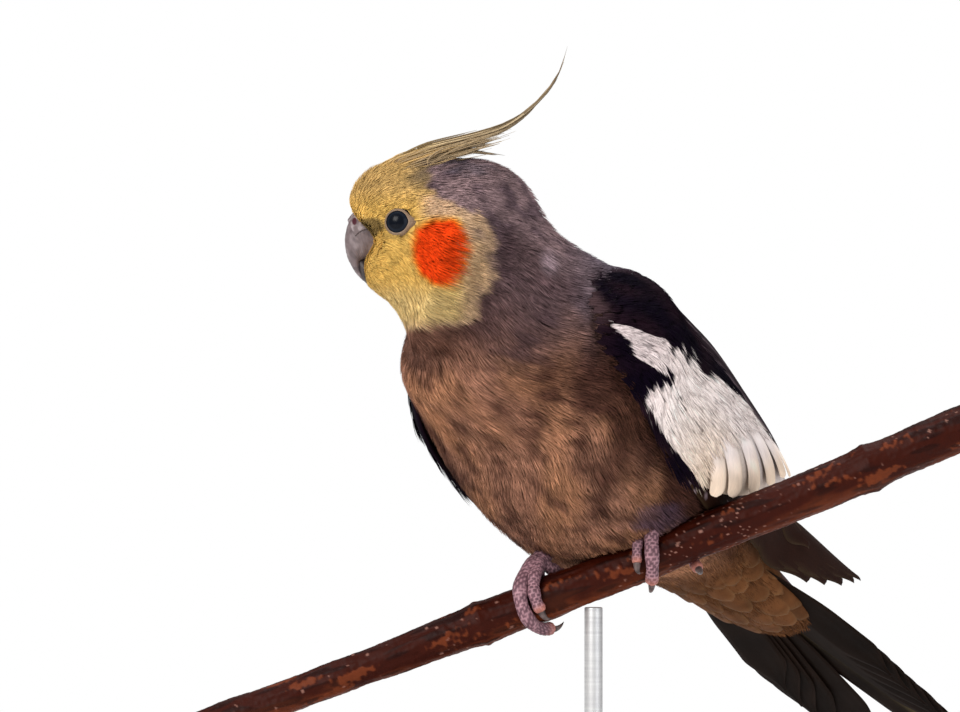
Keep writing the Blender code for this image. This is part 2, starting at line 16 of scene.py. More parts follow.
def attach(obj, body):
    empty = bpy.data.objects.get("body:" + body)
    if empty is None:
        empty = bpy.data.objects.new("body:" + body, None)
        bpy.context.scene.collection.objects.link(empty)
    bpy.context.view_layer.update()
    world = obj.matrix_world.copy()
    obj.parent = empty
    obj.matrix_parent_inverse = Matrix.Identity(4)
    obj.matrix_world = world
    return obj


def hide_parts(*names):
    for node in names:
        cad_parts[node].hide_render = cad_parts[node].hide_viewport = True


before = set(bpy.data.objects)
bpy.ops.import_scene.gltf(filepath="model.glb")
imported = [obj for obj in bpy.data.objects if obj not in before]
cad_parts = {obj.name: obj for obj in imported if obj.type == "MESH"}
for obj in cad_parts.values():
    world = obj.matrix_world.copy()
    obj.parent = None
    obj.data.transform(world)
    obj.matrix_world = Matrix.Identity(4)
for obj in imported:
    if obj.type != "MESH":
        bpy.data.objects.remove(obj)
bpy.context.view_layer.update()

MM = 0.001
PERCH_POINT = np.array((-4.0, -12.0, 82.0))
BODY_NODE = "root"
BAKE_MAP = "OFBake"
BAKE_PATCH = 0.003

# Frames and lofts

Frame = namedtuple("Frame", "origin forward left up")
Station = namedtuple("Station", "frame dorsal ventral half_width")


def unit(vectors):
    """The same directions with a length of 1."""
    return vectors / np.maximum(np.linalg.norm(vectors, axis=-1, keepdims=True), 1e-9)


def smooth(share):
    """Eases from 0 to 1."""
    share = np.clip(share, 0.0, 1.0)
    return share * share * (3 - 2 * share)


def mix(low, high, share):
    return low + (high - low) * share


def full_turn(count):
    """That many angles, evenly round a circle."""
    return np.arange(count) * math.tau / count


def frame_at(origin, heading, pitch, roll=0.0):
    """Axes of a body part. Heading 90 is -X and 0 is -Y; pitch lifts the front, roll the left side."""
    turn, lift, lean = (math.radians(a) for a in (heading, pitch, roll))
    level = np.array((-math.sin(turn), -math.cos(turn), 0.0))
    left = np.array((math.cos(turn), -math.sin(turn), 0.0))
    sky = np.array((0.0, 0.0, 1.0))
    forward = level * math.cos(lift) + sky * math.sin(lift)
    up = sky * math.cos(lift) - level * math.sin(lift)
    return Frame(
        np.array(origin, float),
        forward,
        left * math.cos(lean) + up * math.sin(lean),
        up * math.cos(lean) - left * math.sin(lean),
    )


def place(frame_of, along, up, left=0.0):
    """A point of a frame, in mm from the perch point."""
    return frame_of.origin + frame_of.forward * along + frame_of.up * up + frame_of.left * left


HEAD = frame_at((-52.5, -42.0, 93.6), heading=88, pitch=0)
NECK = frame_at((-32.0, -27.0, 78.0), heading=64, pitch=0)
NAPE = frame_at((-31.0, -24.0, 78.0), heading=50, pitch=0)
TRUNK = frame_at((8.0, 25.0, 27.0), heading=35, pitch=32, roll=9)
TAIL = frame_at(place(TRUNK, -42, 0), heading=35, pitch=24, roll=9)

# The outline of the coat: (forward, up) of its upper and lower lines, and its half width.
BODY = [
    Station(HEAD, (12.2, 3.0), (8.4, -9.0), 4.4),
    Station(HEAD, (12.0, 7.6), (8.0, -15.6), 8.4),
    Station(HEAD, (8.1, 12.9), (5.4, -18.4), 11.4),
    Station(HEAD, (2.0, 16.0), (2.2, -20.8), 13.4),
    Station(HEAD, (-6.0, 16.8), (-0.4, -24.2), 15.4),
    Station(HEAD, (-15.0, 16.8), (-2.2, -28.0), 17.4),
    Station(HEAD, (-25.0, 15.8), (-3.4, -32.5), 19.6),
    Station(NECK, (-15.0, 25.2), (17.0, -21.5), 23.0),
    Station(NAPE, (-21.0, 14.0), (15.4, -31.5), 28.5),
    Station(TRUNK, (50.0, 36.5), (56.5, -29.5), 33.5),
    Station(TRUNK, (37.0, 34.0), (39.0, -34.5), 33.8),
    Station(TRUNK, (18.0, 33.5), (17.0, -34.4), 34.5),
    Station(TRUNK, (-3.0, 30.5), (-5.5, -29.2), 33.0),
    Station(TRUNK, (-23.0, 24.0), (-25.0, -17.8), 26.5),
    Station(TRUNK, (-42.0, 15.5), (-42.0, -11.0), 18.0),
    Station(TAIL, (-12.0, 10.5), (-14.0, -9.0), 15.0),
    Station(TAIL, (-30.0, 5.5), (-34.0, -6.5), 13.0),
    Station(TAIL, (-50.0, 2.2), (-52.0, -2.6), 9.0),
]
BODY_END = 17.0

# The folded wings lie on the trunk and, behind it, on this narrowing bed over the tail.
WING_BED = BODY[:13] + [
    Station(TRUNK, (-23.0, 26.5), (-25.0, -17.0), 29.5),
    Station(TRUNK, (-42.0, 20.5), (-42.0, -11.0), 25.0),
    Station(TAIL, (-14.0, 18.5), (-16.0, -8.5), 24.0),
    Station(TAIL, (-34.0, 18.5), (-36.0, -6.0), 21.5),
    Station(TAIL, (-58.0, 20.0), (-58.0, -3.6), 18.5),
]


class Loft:
    """A smooth surface through elliptical sections, read by station number and by angle.

    The angle is 0 at the back's midline and goes round by the left side.
    """

    step = 1e-3

    def __init__(self, stations):
        self.dorsal = np.array([place(s.frame, *s.dorsal) for s in stations])
        self.ventral = np.array([place(s.frame, *s.ventral) for s in stations])
        self.left = np.array([s.frame.left * s.half_width for s in stations])

    def line(self, values, t):
        last = len(values) - 1
        i = np.clip(t.astype(int), 0, last - 1)
        a, b, c, d = (values[np.clip(i + k, 0, last)] for k in (-1, 0, 1, 2))
        s = (t - i)[..., None]
        bend = (a * 2 - b * 5 + c * 4 - d) * s**2 + (b * 3 - a - c * 3 + d) * s**3
        return 0.5 * (b * 2 + (c - a) * s + bend)

    def section(self, t):
        t = np.asarray(t, float)
        dorsal, ventral, left = (self.line(v, t) for v in (self.dorsal, self.ventral, self.left))
        return (dorsal + ventral) / 2, (dorsal - ventral) / 2, left

    def point(self, t, angle):
        middle, half, left = self.section(t)
        return middle + half * np.cos(angle)[..., None] + left * np.sin(angle)[..., None]

    def axes(self, t, angle):
        """How far and which way the surface runs per station and per radian."""
        along = self.point(t + self.step, angle) - self.point(t - self.step, angle)
        across = self.point(t, angle + self.step) - self.point(t, angle - self.step)
        return along / (2 * self.step), across / (2 * self.step)

    def normal(self, t, angle):
        along, across = self.axes(t, angle)
        return unit(np.cross(across, along))

    def at(self, t, angle, height):
        """A point that high over the surface."""
        return self.point(t, angle) + self.normal(t, angle) * np.asarray(height)[..., None]


# On the far wing feathers lie that much nearer the back, and markings that much; its coverts
# end that many degrees above the arm's lower edge.
FAR_WING_TUCK = math.radians(17)
FAR_MARKING_TUCK = math.radians(30)
FAR_WING_HEM = math.radians(9)


class WingLoft(Loft):
    """The same, with heights measured in each section's plane, and two sides to work on."""

    def __init__(self, stations, side, droop):
        super().__init__(stations)
        self.side, self.droop = side, droop
        self.tuck = 0.0 if side > 0 else FAR_WING_TUCK
        self.marking = 0.0 if side > 0 else FAR_MARKING_TUCK

    def turned(self, angle):
        return self.side * (np.asarray(angle) + self.droop)

    def point(self, t, angle):
        return super().point(np.asarray(t, float), self.turned(angle))

    def normal(self, t, angle):
        _, half, left = self.section(t)
        turned = self.turned(angle)[..., None]
        tall = np.linalg.norm(half, axis=-1, keepdims=True)
        wide = np.linalg.norm(left, axis=-1, keepdims=True)
        out = half / tall**2 * np.cos(turned) + left / wide**2 * np.sin(turned)
        return unit(out)


# The hollow beside the bill and the flat place at the nape, in the head's frame
HOLLOW_FORWARD, HOLLOW_REACH = 3.5, 5.0
HOLLOW_UP, HOLLOW_HEIGHT, HOLLOW_DEPTH = -4.4, 4.2, 4.0
NAPE_FORWARD, NAPE_UP = -39.0, 4.0
NAPE_LENGTH, NAPE_HEIGHT, NAPE_DEPTH = 8.0, 9.0, 2.0
NAPE_WAY = HEAD.up * 0.6 - HEAD.forward * 0.8


def in_head(points):
    """How far forward, up and to the left the points lie in the head's frame."""
    away = points - HEAD.origin
    return away @ HEAD.forward, away @ HEAD.up, away @ HEAD.left


class Coat(Loft):
    """The outline of the coat, hollowed beside the bill and flatter at the nape."""

    def point(self, t, angle):
        points = super().point(t, angle)
        ahead, high, _ = in_head(points)
        beside_bill = smooth((ahead - HOLLOW_FORWARD) / HOLLOW_REACH)
        hollow = np.exp(-(((high - HOLLOW_UP) / HOLLOW_HEIGHT) ** 2)) * beside_bill
        far = ((ahead - NAPE_FORWARD) / NAPE_LENGTH) ** 2
        nape = np.exp(-far - ((high - NAPE_UP) / NAPE_HEIGHT) ** 2)
        points = points - HEAD.forward * (HOLLOW_DEPTH * hollow)[..., None]
        return points - NAPE_WAY * (NAPE_DEPTH * nape)[..., None]


body = Coat(BODY)

# The branch that the feet grip

BRANCH_TILT = math.radians(21.5)
BRANCH_BEND = math.radians(3.6)
BRANCH_LEFT, BRANCH_RIGHT = 116.0, 110.0
BRANCH_RADIUS = 5.55
LEAF_SCARS = ((-33.0, 3.2, 0.45), (78.0, 3.4, 0.5))
THIN_END, THICK_END = -1.1, 0.3
FRONT = np.array((0.0, -1.0, 0.0))


def branch_centre(along):
    """The branch's axis, a shallow arc, at a distance along it from the perch point."""
    along = np.asarray(along, float)
    turn = BRANCH_TILT + BRANCH_BEND * along / (BRANCH_LEFT + BRANCH_RIGHT) / 2
    return np.stack([np.cos(turn) * along, along * 0, np.sin(turn) * along], -1)


def branch_radius(along):
    along = np.asarray(along, float)
    taper = THIN_END * smooth((-along - 18) / 60) + THICK_END * smooth((along - 20) / 50)
    scars = sum(high * np.exp(-(((along - at) / long) ** 2)) for at, long, high in LEAF_SCARS)
    return BRANCH_RADIUS + taper + scars


def branch_axes(along):
    """The directions along the branch, to its top and to its front."""
    run = unit(branch_centre(np.asarray(along) + 0.5) - branch_centre(np.asarray(along) - 0.5))
    front = np.broadcast_to(FRONT, run.shape)
    return run, unit(np.cross(front, run)), front


def round_branch(along, angle, height):
    """A point that high over the bark, at an angle in degrees from the branch's top to its front."""
    _, top, front = branch_axes(along)
    reach = (branch_radius(along) + height)[..., None]
    turn = np.radians(angle)[..., None]
    return branch_centre(along) + (top * np.cos(turn) + front * np.sin(turn)) * reach


def clear_of_branch(points, room):
    """Moves points that would lie in the branch out to just over its bark."""
    along = points[..., 0] * math.cos(BRANCH_TILT) + points[..., 2] * math.sin(BRANCH_TILT)
    away = points - branch_centre(along)
    run = branch_axes(along)[0]
    away = away - run * (away * run).sum(-1, keepdims=True)
    far = np.linalg.norm(away, axis=-1)
    least = branch_radius(along) + room
    inside = (far < least) & (np.abs(along) < BRANCH_RIGHT)
    shift = unit(away) * (least - far)[..., None]
    return np.where(inside[..., None], points + shift, points)


# Colours, picked as 0 to 255 and turned into the renderer's linear units


def srgb(red, green, blue):
    return (np.array((red, green, blue)) / 255) ** 2.2


FOREHEAD = srgb(200, 163, 103)
FACE = srgb(226, 182, 98)
THROAT = srgb(228, 196, 132)
CREAM = srgb(206, 170, 136)
CHEEK = srgb(232, 70, 24)
CHEEK_EDGE = srgb(226, 134, 44)
LORES = srgb(104, 88, 60)
CROWN = srgb(142, 120, 92)
CROWN_SLATE = srgb(82, 78, 88)
NAPE_GREY = srgb(152, 126, 128)
NAPE_DARK = srgb(96, 78, 86)
NECK_SIDE = srgb(88, 68, 70)
MANTLE = srgb(116, 104, 116)
LILAC = srgb(172, 150, 158)
BREAST = srgb(168, 120, 98)
BREAST_WARM = srgb(186, 132, 100)
BREAST_DARK = srgb(108, 74, 62)
BREAST_TOP = srgb(130, 92, 78)
FLANK_AND_SHADE = srgb(76, 49, 43)
SHIN = srgb(88, 70, 84)
VENT = srgb(108, 70, 44)
PALE_RIM = srgb(168, 140, 100)
WING_DARK = srgb(18, 10, 24)
WING_BROWN = srgb(38, 24, 32)
WING_BACK = srgb(64, 50, 58)
WHITE = srgb(250, 236, 232)
CREAM_WHITE = srgb(248, 222, 198)
QUILL_BROWN = srgb(42, 26, 21)
OLIVE_EDGE = srgb(138, 122, 86)
TAIL_DARK = srgb(34, 23, 17)
TAIL_BROWN = srgb(50, 36, 29)
CREST_ROOT = srgb(196, 164, 98)
CREST_VANE = srgb(184, 164, 132)
CREST_TIP = srgb(140, 124, 104)
CREST_EDGE = srgb(86, 70, 50)
TOE_SKIN = srgb(160, 122, 130)
TOE_SCALE = srgb(58, 34, 46)
TOE_END = srgb(196, 124, 104)
CLAW_GREY = srgb(106, 90, 88)
BILL_GREY = srgb(106, 93, 94)
BILL_PALE = srgb(154, 141, 143)
BILL_DARK_AND_SHADE = srgb(62, 53, 54)
NOSTRIL = srgb(70, 28, 38)
EYELID = srgb(130, 108, 88)
EYELID_RIM_AND_HIGHLIGHT = srgb(160, 138, 120)
IRIS = srgb(24, 29, 38)
PUPIL = srgb(16, 19, 26)
BARK = srgb(52, 19, 9)
BARK_DARK = srgb(28, 10, 7)
BARK_TAN = srgb(102, 50, 29)
BARK_SPECK = srgb(150, 108, 96)
WOOD_PALE = srgb(206, 176, 130)
WOOD_RING = srgb(168, 128, 84)


def paint(base, colour, mask):
    """The base colours with another laid over them by the mask."""
    return base + (colour - base) * np.asarray(mask)[..., None]


def layered(base, *layers):
    """The base colours with others laid over them in turn, each by its mask."""
    for colour, mask in layers:
        base = paint(base, colour, mask)
    return base


def blotches(points, size, seed):
    """A smooth random field from about -1 to 1, whose patches are about that many mm across."""
    random = np.random.default_rng(seed)
    waves = 14
    ways = unit(random.normal(size=(waves, 3))) * random.uniform(0.6, 1.5, (waves, 1))
    turns = points @ (ways * math.pi / size).T + random.uniform(0, math.tau, waves)
    return np.sin(turns).sum(-1) / 3.7


# The yellow mask's hind edge on the head: how far forward it lies at each height, in the head's frame.
MASK_HEIGHTS = (-31.0, -28.6, -27.0, -25.3, -16.4, -7.4, 1.5, 4.1, 6.6, 9.2, 11.5, 14.0, 18.0)
MASK_EDGE = (8.0, -1.0, -12.0, -18.9, -23.0, -22.6, -19.0, -16.0, -10.5, -8.0, -8.6, -11.0, -13.0)
CHEEK_FORWARD, CHEEK_UP, CHEEK_RADIUS = -11.1, -7.9, 8.1
EYE_FORWARD, EYE_UP, EYE_OUT, EYE_RADIUS = -0.45, -0.3, 11.2, 4.1


def cheek_depth(ahead, high):
    """How far inside the edge of the cheek patch, a circle drawn out upwards, a place lies."""
    around = np.arctan2(high - CHEEK_UP, ahead - CHEEK_FORWARD)
    taller = 0.09 * np.cos(2 * (around - math.pi / 2)) - 0.03 * np.cos(3 * (around - math.pi / 2))
    return CHEEK_RADIUS * (1 + taller) - np.hypot(ahead - CHEEK_FORWARD, high - CHEEK_UP)


def body_colour(points, t, dorsal, patchy):
    """The mottled brown breast, the grey mantle and nape, and the dark flanks and vent; the flanks also
    carry painted shade below the wings.
    """
    low = smooth((t - 8.6) / 2.0) * smooth((-dorsal - 0.2) / 0.5)
    warm = 0.35 * low + 0.3 + 0.6 * blotches(points, 12.0, 3)
    mottle = blotches(points, 3.4, 4) + 0.4 * patchy
    # The flanks' dark is partly their own colour and partly painted shade under the wings.
    flank_and_shade = smooth((t - 7.9) / 0.8) * smooth((dorsal + 0.96 + 0.1 * patchy) / 0.4)
    nape = smooth((8.9 - t) / 1.4) * smooth((dorsal + 0.55) / 0.6)
    neck = smooth((t - 6.3) / 0.5) * smooth((8.4 - t) / 0.5)
    neck = neck * smooth((0.75 - np.abs(dorsal + 0.1)) / 0.4)
    return layered(
        BREAST,
        (BREAST_WARM, smooth(warm)),
        (BREAST_TOP, smooth((7.9 - t) / 0.9)),
        (BREAST_DARK, smooth((mottle - 0.1) / 1.0) * 0.75),
        (MANTLE, smooth((dorsal + 0.12 + 0.15 * patchy) / 0.45)),
        (FLANK_AND_SHADE, flank_and_shade * smooth((0.3 - dorsal) / 0.3) * 0.9),
        (VENT, smooth((t - 12.6) / 1.4) * smooth((0.3 - dorsal) / 0.4)),
        (NAPE_GREY, nape),
        (NAPE_DARK, nape * smooth((0.6 * mottle + 0.6 * patchy) / 0.8) * 0.75),
        (NECK_SIDE, neck * 0.8),
    )


def face_colour(ahead, high, patchy):
    """The yellow mask: duller on the forehead, paler on the throat and behind the cheek."""
    return layered(
        FACE,
        (FOREHEAD, smooth((high - 2.0) / 8.0)),
        (THROAT, smooth((-14.0 - high) / 8.0)),
        (CREAM, smooth((-24.0 - high) / 5.0) * 0.8),
        (CREAM, smooth((-14.5 - ahead) / 4.0) * smooth((8.0 - high) / 4.0) * 0.85),
        (CROWN, smooth((-1.0 - ahead + patchy) / 6.0) * smooth((high - 7.0) / 5.0)),
        (CREAM, smooth((-4.0 - ahead) / 5.0) * smooth((high + 0.5) / 3.0) * smooth((8.5 - high) / 3.0)),
    )


def plumage(points, t, angle):
    """The coat's colour at those points of the body."""
    ahead, high, _ = in_head(points)
    patchy = blotches(points, 7.0, 1)
    fine = blotches(points, 2.6, 2)
    ragged = fine * 0.9 + patchy * 0.7
    inside = ahead - np.interp(high, MASK_HEIGHTS, MASK_EDGE) + ragged * 1.6
    lilac = np.hypot(ahead + 39.4, high + 10.5)
    slate = np.hypot((ahead + 17.7) / 6.5, (high - 14.2) / 2.0)
    lores = np.hypot((ahead - 7.4) / 1.5, (high + 1.6) / 0.9)
    under_eye = np.hypot((ahead - 0.6) / 3.6, (high + 3.9) / 0.9)
    cheek = cheek_depth(ahead, high) + fine * 0.25
    shin = np.linalg.norm((points - SHIN_PATCH) / SHIN_PATCH_SIZE, axis=-1)
    colour = layered(
        body_colour(points, t, np.cos(angle), patchy),
        (LILAC, smooth((4.5 - lilac + patchy) / 4.0) * 0.7),
        (CREAM, smooth((inside + 3.0) / 3.4) * smooth((7.0 - high) / 4.0)),
        (face_colour(ahead, high, patchy), smooth(inside / 3.0)),
        (CROWN_SLATE, smooth((1.5 - slate + 0.35 * fine) / 1.0) * 0.6),
        (LORES, smooth((3.2 - lores + 0.5 * fine) / 1.6) * 0.85),
        (LORES, smooth((1.5 - under_eye + 0.3 * fine) / 1.0) * 0.4),
        (CHEEK_EDGE, smooth((cheek + 1.2) / 1.8)),
        (CHEEK, smooth((cheek + 0.3) / 1.6)),
        (SHIN, smooth((1.2 - shin + 0.2 * fine) / 0.6) * 0.8),
    )
    return colour * (1 + 0.10 * fine)[..., None]


SHIN_PATCH = np.array((16.5, 0.0, 15.5))
SHIN_PATCH_SIZE = (8.0, 40.0, 5.0)

# Meshes and pieces


def add_object(name, data):
    """A new object in the scene."""
    made = bpy.data.objects.new(name, data)
    bpy.context.scene.collection.objects.link(made)
    return made


def add_piece(name, points, faces, material, colours=None, bake=None, loop_bake=None, barbs=None):
    """One piece from points in mm about the perch point. Faces is a list of index arrays.

    bake gives each point's place on the bake map, or loop_bake each face corner's.
    """
    mesh = bpy.data.meshes.new(name)
    points = np.asarray(points, float).reshape(-1, 3)
    mesh.vertices.add(len(points))
    mesh.vertices.foreach_set("co", ((points + PERCH_POINT) * MM).astype(np.float32).ravel())
    corners = np.concatenate([np.asarray(f).ravel() for f in faces]).astype(np.int32)
    sizes = np.concatenate([np.full(len(f), np.shape(f)[1]) for f in faces])
    starts = np.concatenate([[0], np.cumsum(sizes)[:-1]]).astype(np.int32)
    mesh.loops.add(len(corners))
    mesh.loops.foreach_set("vertex_index", corners)
    mesh.polygons.add(len(sizes))
    mesh.polygons.foreach_set("loop_start", starts)
    mesh.update(calc_edges=True)
    if colours is not None:
        shades = np.ones((len(points), 4), np.float32)
        shades[:, :3] = np.asarray(colours).reshape(-1, 3).clip(0, 1)
        layer = mesh.color_attributes.new("Coat", "FLOAT_COLOR", "POINT")
        layer.data.foreach_set("color", shades.ravel())
    if barbs is not None:
        layer = mesh.attributes.new("Barbs", "FLOAT_VECTOR", "POINT")
        layer.data.foreach_set("vector", np.asarray(barbs, np.float32).ravel())
    spots = np.asarray(bake).reshape(-1, 2)[corners] if loop_bake is None else loop_bake
    layer = mesh.uv_layers.new(name=BAKE_MAP)
    layer.data.foreach_set("uv", spots.astype(np.float32).ravel())
    mesh.shade_smooth()
    piece = add_object(name, mesh)
    mesh.materials.append(material)
    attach(piece, BODY_NODE)
    return piece


def repeated(faces, count, size):
    """The same faces for that many copies of a shape with that many points each."""
    faces = np.asarray(faces)
    return (faces[None] + (np.arange(count) * size)[:, None, None]).reshape(-1, faces.shape[1])


def band_faces(rings, around, steps):
    """Quads from each ring to the next, for that many steps; after the last ring comes the first.

    Also says, for each face corner, its ring and its place round the ring, unwrapped.
    """
    k = np.broadcast_to(np.arange(around), (steps, around))
    ring = np.broadcast_to(np.arange(steps)[:, None], (steps, around))
    here, on, beside = ring * around, (ring + 1) % rings * around, (k + 1) % around
    faces = np.stack([here + k, here + beside, on + beside, on + k], -1)
    spots = np.stack([ring, k, ring, k + 1, ring + 1, k + 1, ring + 1, k], -1)
    return faces.reshape(-1, 4), spots.reshape(-1, 4, 2)


def tube_faces(rings, around):
    """Quads between rings in turn, and a fan at each end to one more point, with the corners' places."""
    k = np.arange(around)
    quads, places = band_faces(rings, around, rings - 1)
    base = (rings - 1) * around
    near = np.stack([(k + 1) % around, k, np.full(around, base + around)], -1)
    far = np.stack([base + k, base + (k + 1) % around, np.full(around, base + around + 1)], -1)
    fans = []
    for ring, centre, first, second in ((0, -0.5, k + 1, k), (rings - 1, rings - 0.5, k, k + 1)):
        at, out = np.full(around, float(ring)), np.full(around, centre)
        fans.append(np.stack([[at, first], [at, second], [out, k + 0.5]], 0).transpose(2, 0, 1))
    return [quads, np.concatenate([near, far])], [places, np.concatenate(fans)]


def closed_tubes(grids):
    """Points, faces and bake places of closed tubes through grids of rings, each with its own cell."""
    count, rings, around = grids.shape[:3]
    ends = grids[:, [0, -1]].mean(2)
    points = np.concatenate([grids.reshape(count, -1, 3), ends], axis=1)
    size = rings * around + 2
    faces, spots = tube_faces(rings, around)
    cells = math.ceil(math.sqrt(count))
    corner = np.stack([np.arange(count) % cells, np.arange(count) // cells], -1)
    every_face, every_spot = [], []
    for group, places in zip(faces, spots):
        every_face.append(repeated(group, count, size))
        share = np.stack([places[..., 1] / around, (places[..., 0] + 0.5) / rings], -1)
        placed = (corner[:, None, None] + 0.03 + 0.94 * share[None]) / cells
        every_spot.append(placed.reshape(-1, 2))
    points = points.reshape(-1, 3)
    return points, *turned_out(points, every_face, every_spot)


def ring_values(values):
    """Values for each tube's points, with those of its two end points."""
    count = len(values)
    ends = values[:, [0, -1]].mean(2)
    return np.concatenate([values.reshape(count, -1, values.shape[-1]), ends], axis=1).reshape(
        -1, values.shape[-1]
    )


def turned_out(points, faces, spots):
    """The same faces and bake places, all flipped if the closed shapes are inside out."""
    volume = 0.0
    for group in faces:
        corners = points[group]
        for k in range(1, group.shape[1] - 1):
            a, b, c = corners[:, 0], corners[:, k], corners[:, k + 1]
            volume += (a * np.cross(b, c)).sum()
    if volume > 0:
        return faces, np.concatenate(spots)
    sizes = [group.shape[1] for group in faces]
    spots = [s.reshape(-1, n, 2)[:, ::-1].reshape(-1, 2) for s, n in zip(spots, sizes)]
    return [group[:, ::-1] for group in faces], np.concatenate(spots)


def add_tubes(name, grids, material, colours=None, barbs=None):
    """One piece of closed tubes; colours and barbs are given for each point of the grids."""
    points, faces, spots = closed_tubes(grids)
    return add_piece(
        name, points, faces, material, loop_bake=spots,
        colours=None if colours is None else ring_values(colours),
        barbs=None if barbs is None else ring_values(barbs),
    )


# Materials


def new_material(name, roughness, metallic=0.0, specular=0.5):
    made = bpy.data.materials.new(name)
    made.use_nodes = True
    tree = made.node_tree
    shader = tree.nodes["Principled BSDF"]
    shader.inputs["Roughness"].default_value = roughness
    shader.inputs["Metallic"].default_value = metallic
    shader.inputs["Specular IOR Level"].default_value = specular
    return made, tree, shader


def add_node(tree, kind, inputs=(), **settings):
    """A shader node with its settings, and values or links by input name."""
    node = tree.nodes.new(kind)
    for name, value in settings.items():
        setattr(node, name, value)
    for name, value in dict(inputs).items():
        if isinstance(value, bpy.types.NodeSocket):
            tree.links.new(value, node.inputs[name])
        else:
            node.inputs[name].default_value = value
    return node


def object_noise(tree, scale, stretch=(1, 1, 1), detail=3.0):
    """Noise in the object's own space, about 1/scale metres across."""
    place_node = add_node(tree, "ShaderNodeTexCoord")
    mapping = add_node(
        tree, "ShaderNodeMapping", {"Vector": place_node.outputs["Object"], "Scale": stretch}
    )
    return add_node(
        tree, "ShaderNodeTexNoise",
        {"Vector": mapping.outputs["Vector"], "Scale": scale, "Detail": detail},
    )


def ramp(tree, value, stops):
    """Colours at places from 0 to 1 of a value."""
    node = add_node(tree, "ShaderNodeValToRGB", {"Fac": value})
    elements = node.color_ramp.elements
    while len(elements) < len(stops):
        elements.new(0.5)
    for element, (at, colour) in zip(elements, stops):
        element.position = at
        element.color = (*colour, 1.0)
    return node.outputs["Color"]


GREYS = [(0.25, (0.72, 0.72, 0.72)), (0.75, (1.16, 1.16, 1.16))]


def tint(tree, shader, noise, strength):
    """The painted colour, lighter and darker with the noise."""
    painted = add_node(tree, "ShaderNodeAttribute", attribute_name="Coat")
    shade = ramp(tree, noise.outputs["Fac"], GREYS)
    node = add_node(tree, "ShaderNodeMix", data_type="RGBA", blend_type="MULTIPLY")
    factor, base, over, result = node.inputs[0], node.inputs[6], node.inputs[7], node.outputs[2]
    factor.default_value = strength
    tree.links.new(painted.outputs["Color"], base)
    tree.links.new(shade, over)
    tree.links.new(result, shader.inputs["Base Color"])


def add_bump(tree, shader, height, strength, distance):
    bump = add_node(
        tree, "ShaderNodeBump", {"Height": height, "Strength": strength, "Distance": distance}
    )
    tree.links.new(bump.outputs["Normal"], shader.inputs["Normal"])


def plumage_material():
    """Soft matt locks, a little lighter and darker from barb to barb."""
    made, tree, shader = new_material("plumage", 0.85, specular=0.04)
    noise = object_noise(tree, 1600.0, detail=2.0)
    tint(tree, shader, noise, 0.4)
    add_bump(tree, shader, noise.outputs["Fac"], 0.1, 0.0001)
    return made


def vane_material():
    """Barbs run out from the shaft towards the tip, so colour and height vary along slanting lines."""
    made, tree, shader = new_material("vanes", 0.65, specular=0.03)
    barbs = add_node(tree, "ShaderNodeAttribute", attribute_name="Barbs")
    noise = add_node(
        tree, "ShaderNodeTexNoise",
        {"Vector": barbs.outputs["Vector"], "Scale": 1.0, "Detail": 2.0},
    )
    tint(tree, shader, noise, 0.45)
    add_bump(tree, shader, noise.outputs["Fac"], 0.3, 0.0002)
    return made


def surface_material(name, roughness, scale, strength, specular=0.2):
    """A painted surface with a fine uneven height, and shinier and duller places."""
    made, tree, shader = new_material(name, roughness, specular=specular)
    noise = object_noise(tree, scale, detail=4.0)
    tint(tree, shader, noise, 0.5)
    rough = add_node(
        tree, "ShaderNodeMapRange",
        {"Value": noise.outputs["Fac"], "To Min": roughness - 0.1, "To Max": roughness + 0.1},
    )
    tree.links.new(rough.outputs["Result"], shader.inputs["Roughness"])
    add_bump(tree, shader, noise.outputs["Fac"], strength, 0.0002)
    return made


def eye_material():
    """A wet dark ball."""
    made, tree, shader = new_material("eye_ball", 0.22, specular=0.1)
    tint(tree, shader, object_noise(tree, 1600.0), 0.6)
    return made


def metal_material():
    """Satin metal with the fine rings of turning."""
    made, tree, shader = new_material("stand_satin", 0.4, metallic=0.6)
    noise = object_noise(tree, 220.0, stretch=(0.2, 0.2, 6.0))
    shade = ramp(tree, noise.outputs["Fac"], [(0.3, (0.50, 0.50, 0.51)), (0.7, (0.62, 0.62, 0.62))])
    tree.links.new(shade, shader.inputs["Base Color"])
    add_bump(tree, shader, noise.outputs["Fac"], 0.15, 0.0001)
    return made


# Locks: thin closed three-sided blades that come to a point

LOCK_STEPS = np.array([0.0, 0.34, 0.7, 1.0])
LOCK_WIDTHS = np.array([0.6, 1.0, 0.74])
LOCK_RISE = 0.8
LOCK_RIDGE = 0.28
LOCK_ROOM = 0.3
LOCK_POINTS = 10
LOCK_FACES = [
    (0, 3, 4), (0, 4, 1), (1, 4, 5), (1, 5, 2),
    (3, 6, 7), (3, 7, 4), (4, 7, 8), (4, 8, 5),
    (6, 0, 1), (6, 1, 7), (7, 1, 2), (7, 2, 8),
    (2, 5, 9), (5, 8, 9), (8, 2, 9), (0, 6, 3),
]
# Painted shade on a lock's ten points: darker at the root, lighter along the ridge and at the tip.
LOCK_PAINTED_SHADE = np.array([0.76, 0.92, 1.02, 0.80, 0.96, 1.06, 0.76, 0.92, 1.02, 1.08])
# Each of a lock's ten points takes its colour from one of the four steps.
LOCK_STEP_OF = [0, 1, 2, 0, 1, 2, 0, 1, 2, 3]
PATTERN_STEPS = 0.2 + 0.75 * LOCK_STEPS
LOCK_PATCH = np.array(
    [(-0.5, s) for s in LOCK_STEPS[:3]] + [(0, s) for s in LOCK_STEPS[:3]]
    + [(0.5, s) for s in LOCK_STEPS[:3]] + [(0, 1.0)]
)
# Locks by their root's place, their way over the surface, their size, how high root and tip lie
# over the surface, and how far each is turned about its own length.
Locks = namedtuple("Locks", "t angle turn length width low high twist")


